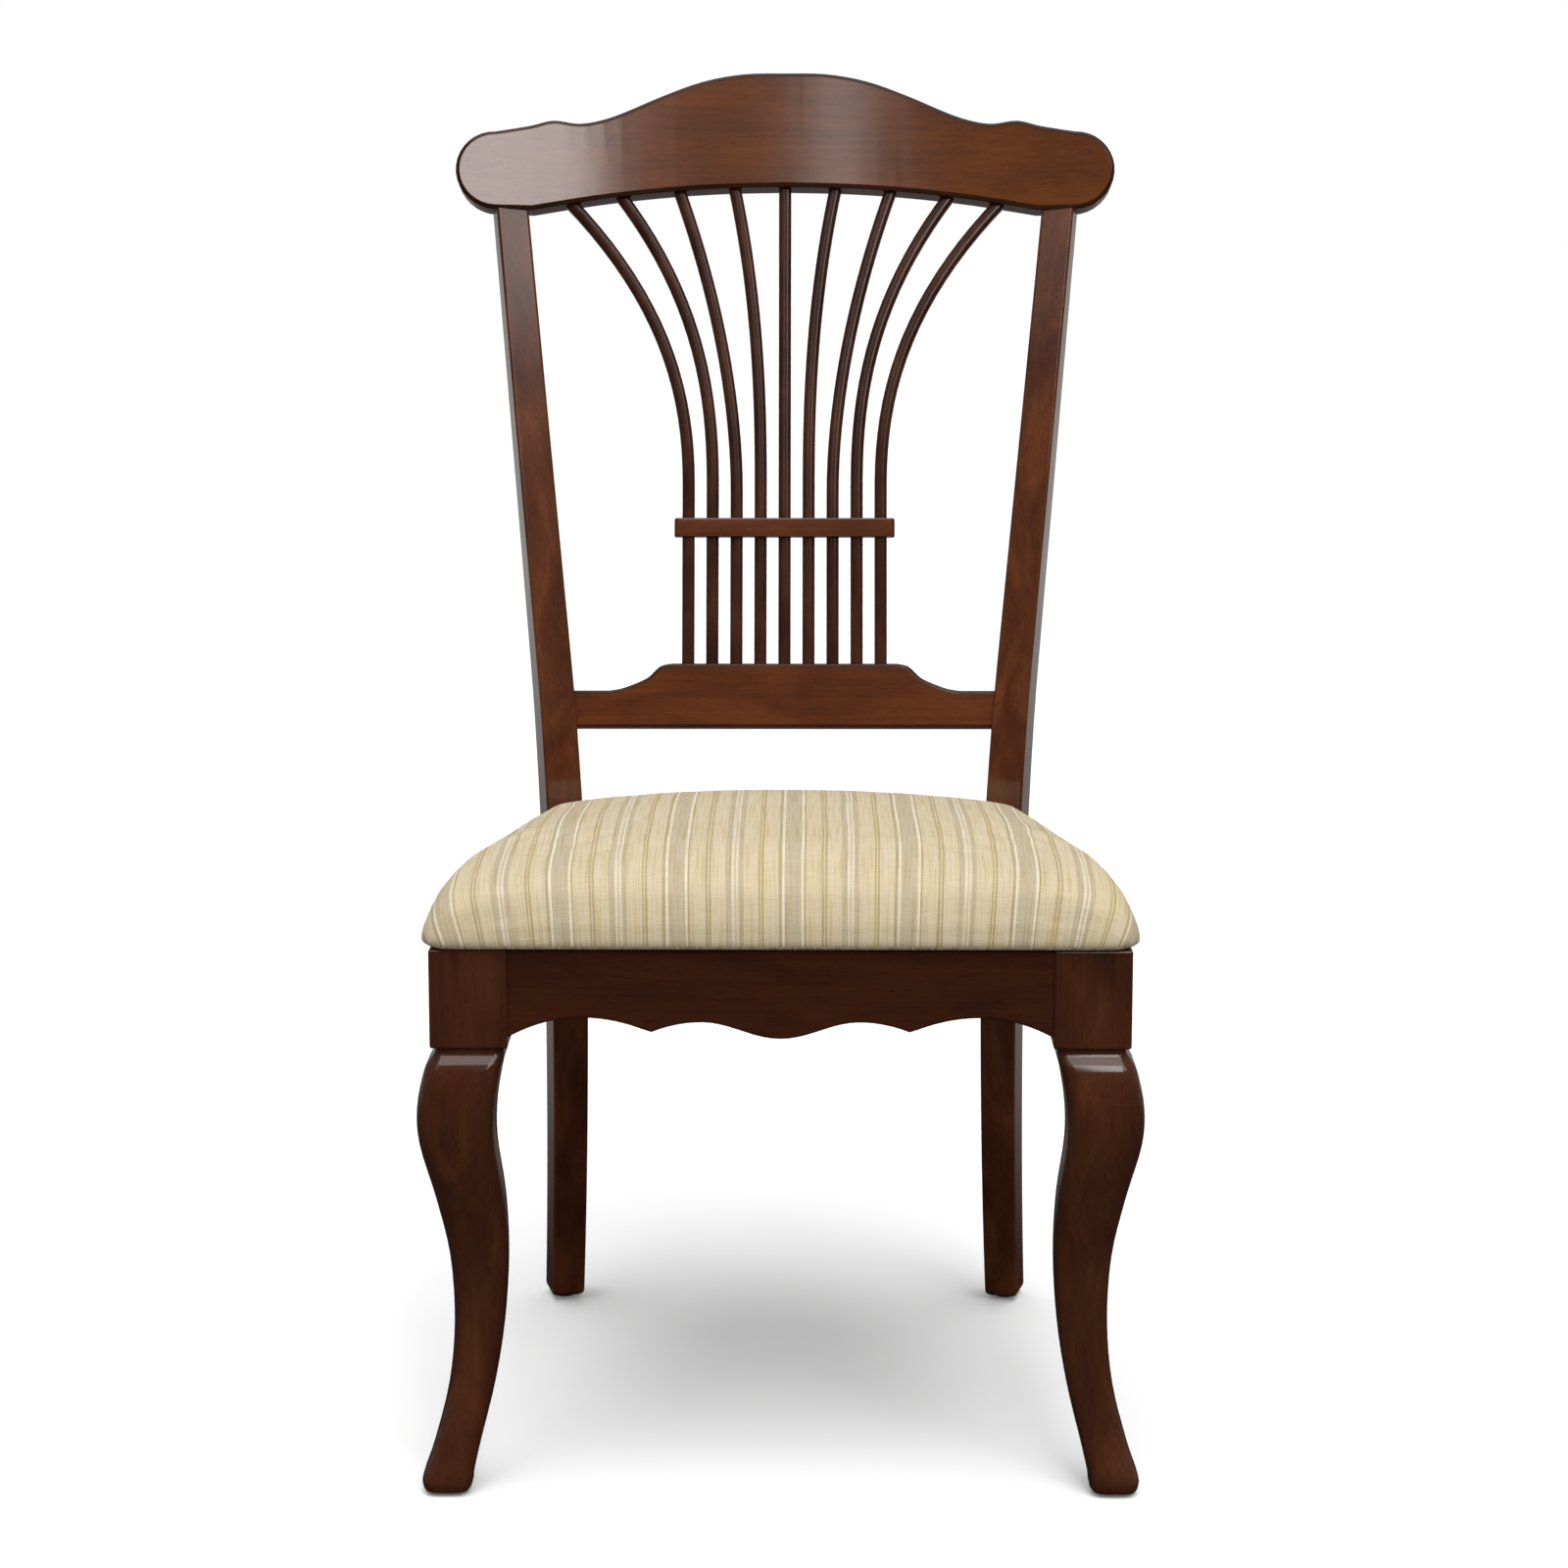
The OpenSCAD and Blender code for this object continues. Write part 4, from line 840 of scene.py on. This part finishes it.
warp_map = add_node(cloth, "ShaderNodeMapping", {
    "Vector": cloth_uv, "Scale": (1 / WARP_PITCH, 1 / WARP_RUN, 1)}).outputs["Vector"]
warp = add_node(cloth, "ShaderNodeTexNoise", {"Vector": warp_map, "Scale": 1.0, "Detail": 2.0},
                noise_dimensions="2D").outputs["Fac"]
weft_map = add_node(cloth, "ShaderNodeMapping", {
    "Vector": cloth_uv, "Scale": (1 / WEFT_RUN, 1 / WEFT_PITCH, 1)}).outputs["Vector"]
weft = add_node(cloth, "ShaderNodeTexNoise", {"Vector": weft_map, "Scale": 1.0, "Detail": 2.0},
                noise_dimensions="2D").outputs["Fac"]
warp_tint = add_node(cloth, "ShaderNodeValToRGB", {"Fac": warp},
                     [(0.34, "#e2cf98"), (0.52, "#ffffff")]).outputs["Color"]
weft_tint = add_node(cloth, "ShaderNodeValToRGB", {"Fac": weft},
                     [(0.30, "#dcd6ca"), (0.60, "#ffffff")]).outputs["Color"]
warped = add_node(cloth, "ShaderNodeMix", {"Factor": 0.5, MIX_A: stripes, MIX_B: warp_tint},
                  data_type="RGBA", blend_type="MULTIPLY").outputs[MIX_RESULT]
woven = add_node(cloth, "ShaderNodeMix", {"Factor": 0.3, MIX_A: warped, MIX_B: weft_tint},
                 data_type="RGBA", blend_type="MULTIPLY").outputs[MIX_RESULT]
weave_height = add_node(cloth, "ShaderNodeMath", {0: warp, 1: weft}, operation="ADD").outputs[0]
weave_bump = add_node(cloth, "ShaderNodeBump", {
    "Strength": 0.25, "Distance": 0.0004, "Height": weave_height}).outputs["Normal"]
set_inputs(cloth, cloth_shader, {
    "Base Color": woven, "Normal": weave_bump, "Roughness": 0.82, "Specular IOR Level": 0.3,
    "Sheen Weight": 0.12, "Sheen Roughness": 0.5})
seat.data.materials.append(cloth)
stand_for(seat, "striped_fabric", "seat_cover", "seat_foam")

# Dust cover
# A sheet that keeps dust out of the seat: plain-woven black lining cloth, cut to
# the board and stapled under it. It is flat and nearly black, with a faint weave.
LINING_THREADS_PER_METRE = 1200
lining, lining_shader = new_material("black_lining_cloth")
lining_place = add_node(lining, "ShaderNodeTexCoord").outputs["Object"]
lining_weave = add_node(lining, "ShaderNodeTexNoise", {
    "Vector": lining_place, "Scale": LINING_THREADS_PER_METRE, "Detail": 2.0}).outputs["Fac"]
lining_tint = add_node(lining, "ShaderNodeValToRGB", {"Fac": lining_weave},
                       [(0.35, "#101010"), (0.65, "#1d1c1b")]).outputs["Color"]
set_inputs(lining, lining_shader, {"Base Color": lining_tint, "Roughness": 0.9})
give_material(lining, "dust_cover")

# Floor, light and camera
# A matt pale floor under soft studio light from above, with softboxes on both
# sides and a narrow strip light high in front, as the sheen on the lacquer shows,
# and the camera where the photograph was taken from.
FLOOR_SIZE = 60
FLOOR_LIFT = 0.10
FLOOR_NEAR = 0.3
FLOOR_FAR = 5.0
bpy.ops.object.select_all(action="DESELECT")
bpy.ops.mesh.primitive_plane_add(size=FLOOR_SIZE)
floor = bpy.context.object
floor.name = "floor"
floor_paint, floor_shader = new_material("pale_floor")
floor_rays = add_node(floor_paint, "ShaderNodeLightPath").outputs
floor_place = add_node(floor_paint, "ShaderNodeTexCoord").outputs["Object"]
floor_axes = add_node(floor_paint, "ShaderNodeSeparateXYZ", {"Vector": floor_place}).outputs
floor_reach = add_node(floor_paint, "ShaderNodeMapRange", {
    "Value": floor_axes["Y"], "From Min": FLOOR_NEAR, "From Max": FLOOR_FAR}).outputs["Result"]
floor_glance = add_node(floor_paint, "ShaderNodeValToRGB", {"Fac": floor_reach}, [
    (0, "#2a2827"), (0.18, "#7f7d7b"), (0.43, "#888684"), (1, "#bcbab7")]).outputs["Color"]
floor_bounce = add_node(floor_paint, "ShaderNodeMix", {
    "Factor": floor_rays["Is Diffuse Ray"], MIX_A: floor_glance, MIX_B: colour("#8a8884")},
    data_type="RGBA").outputs[MIX_RESULT]
floor_tint = add_node(floor_paint, "ShaderNodeMix", {
    "Factor": floor_rays["Is Camera Ray"], MIX_A: floor_bounce, MIX_B: colour("#fbfbfb")},
    data_type="RGBA").outputs[MIX_RESULT]
set_inputs(floor_paint, floor_shader, {
    "Base Color": floor_tint, "Roughness": 1, "Specular IOR Level": 0,
    "Emission Color": (FLOOR_LIFT, FLOOR_LIFT, FLOOR_LIFT, 1),
    "Emission Strength": floor_rays["Is Camera Ray"]})
floor.data.materials.append(floor_paint)

# The room: even light all round, a white background, and for the lacquer a
# dim room in front that grows lighter to the sides and behind the chair
ROOM_LOW = 0.22
ROOM_HIGH = 0.62
ROOM_FRONT = 0.01
ROOM_BEHIND = 0.25
world = bpy.data.worlds.new("studio")
bpy.context.scene.world = world
world.use_nodes = True
room = world.node_tree.nodes["Background"]
room_way = add_node(world, "ShaderNodeTexCoord").outputs["Generated"]
room_axes = add_node(world, "ShaderNodeSeparateXYZ", {"Vector": room_way}).outputs
room_glance = add_node(world, "ShaderNodeMapRange", {
    "Value": room_axes["Y"], "From Min": -1.0, "From Max": 1.0, "To Min": ROOM_FRONT, "To Max": ROOM_BEHIND}
    ).outputs["Result"]
room_light = add_node(world, "ShaderNodeMapRange", {
    "Value": room_axes["Z"], "To Min": ROOM_LOW, "To Max": ROOM_HIGH}).outputs["Result"]
room_rays = add_node(world, "ShaderNodeLightPath").outputs
room_sheen = add_node(world, "ShaderNodeMix", {0: room_rays["Is Glossy Ray"], 2: room_light, 3: room_glance}
                      ).outputs[0]
room_seen = add_node(world, "ShaderNodeMath", {
    0: room_rays["Is Camera Ray"], 1: room_rays["Is Transmission Ray"]}, operation="MAXIMUM").outputs[0]
room_level = add_node(world, "ShaderNodeMix", {0: room_seen, 2: room_sheen, 3: 1.0}).outputs[0]
set_inputs(world, room, {"Color": (1, 1, 1, 1), "Strength": room_level})

# The ceiling: one wide, soft light from above, tipped a little to the front
CEILING_LIGHT = 1.8
CEILING_ANGLE = math.radians(50)
CEILING_TIP = math.radians(14)
CEILING_HEIGHT = 3
bpy.ops.object.light_add(type="SUN", location=(0, 0, CEILING_HEIGHT), rotation=(CEILING_TIP, 0, 0))
ceiling = bpy.context.object
ceiling.name = "ceiling_light"
ceiling.data.energy = CEILING_LIGHT
ceiling.data.angle = CEILING_ANGLE

# Each lamp is turned to the crest rail: azimuth and height in degrees from there,
# width and height in metres, and how bright its face is. Its power is that
# brightness times the area of the face times LAMP_POWER.
LAMP_AIM = Vector((0, 0.2, 1.0))
LAMP_DISTANCE = 9
LAMP_POWER = 4
for name, azimuth, climb, width, tall, radiance in (
        ("key_softbox", 9.2, 34, 1.05, 4.1, 7.1), ("side_softbox", 27, 36.5, 3.6, 3.6, 2.6),
        ("fill_softbox", -27, 36.5, 3.6, 3.6, 0.65), ("strip_light", -2.1, 33, 0.24, 3.6, 3.7)):
    a, h = math.radians(azimuth), math.radians(climb)
    way = Vector((math.sin(a) * math.cos(h), -math.cos(a) * math.cos(h), math.sin(h)))
    bpy.ops.object.light_add(type="AREA", location=LAMP_AIM + LAMP_DISTANCE * way)
    lamp = bpy.context.object
    lamp.name = name
    lamp.rotation_euler = way.to_track_quat("Z", "Y").to_euler()
    lamp.data.shape = "RECTANGLE"
    lamp.data.size = width
    lamp.data.size_y = tall
    lamp.data.energy = radiance * LAMP_POWER * width * tall

# The camera, solved from the photograph
CAMERA_FOCUS_PX = 3814
PHOTO_SIDE_PX = 1600
SENSOR = 36
CAMERA_PLACE = (0.0206, -2.692 - MIDDLE_Y, 1.008)
CAMERA_PITCH = math.radians(9.77)
CAMERA_YAW = math.radians(0.382)
bpy.ops.object.camera_add(location=CAMERA_PLACE, rotation=(math.pi / 2 - CAMERA_PITCH, 0, CAMERA_YAW))
camera = bpy.context.object
camera.data.sensor_width = SENSOR
camera.data.lens = CAMERA_FOCUS_PX / PHOTO_SIDE_PX * SENSOR
bpy.context.scene.camera = camera
bpy.context.scene.view_settings.view_transform = "Standard"
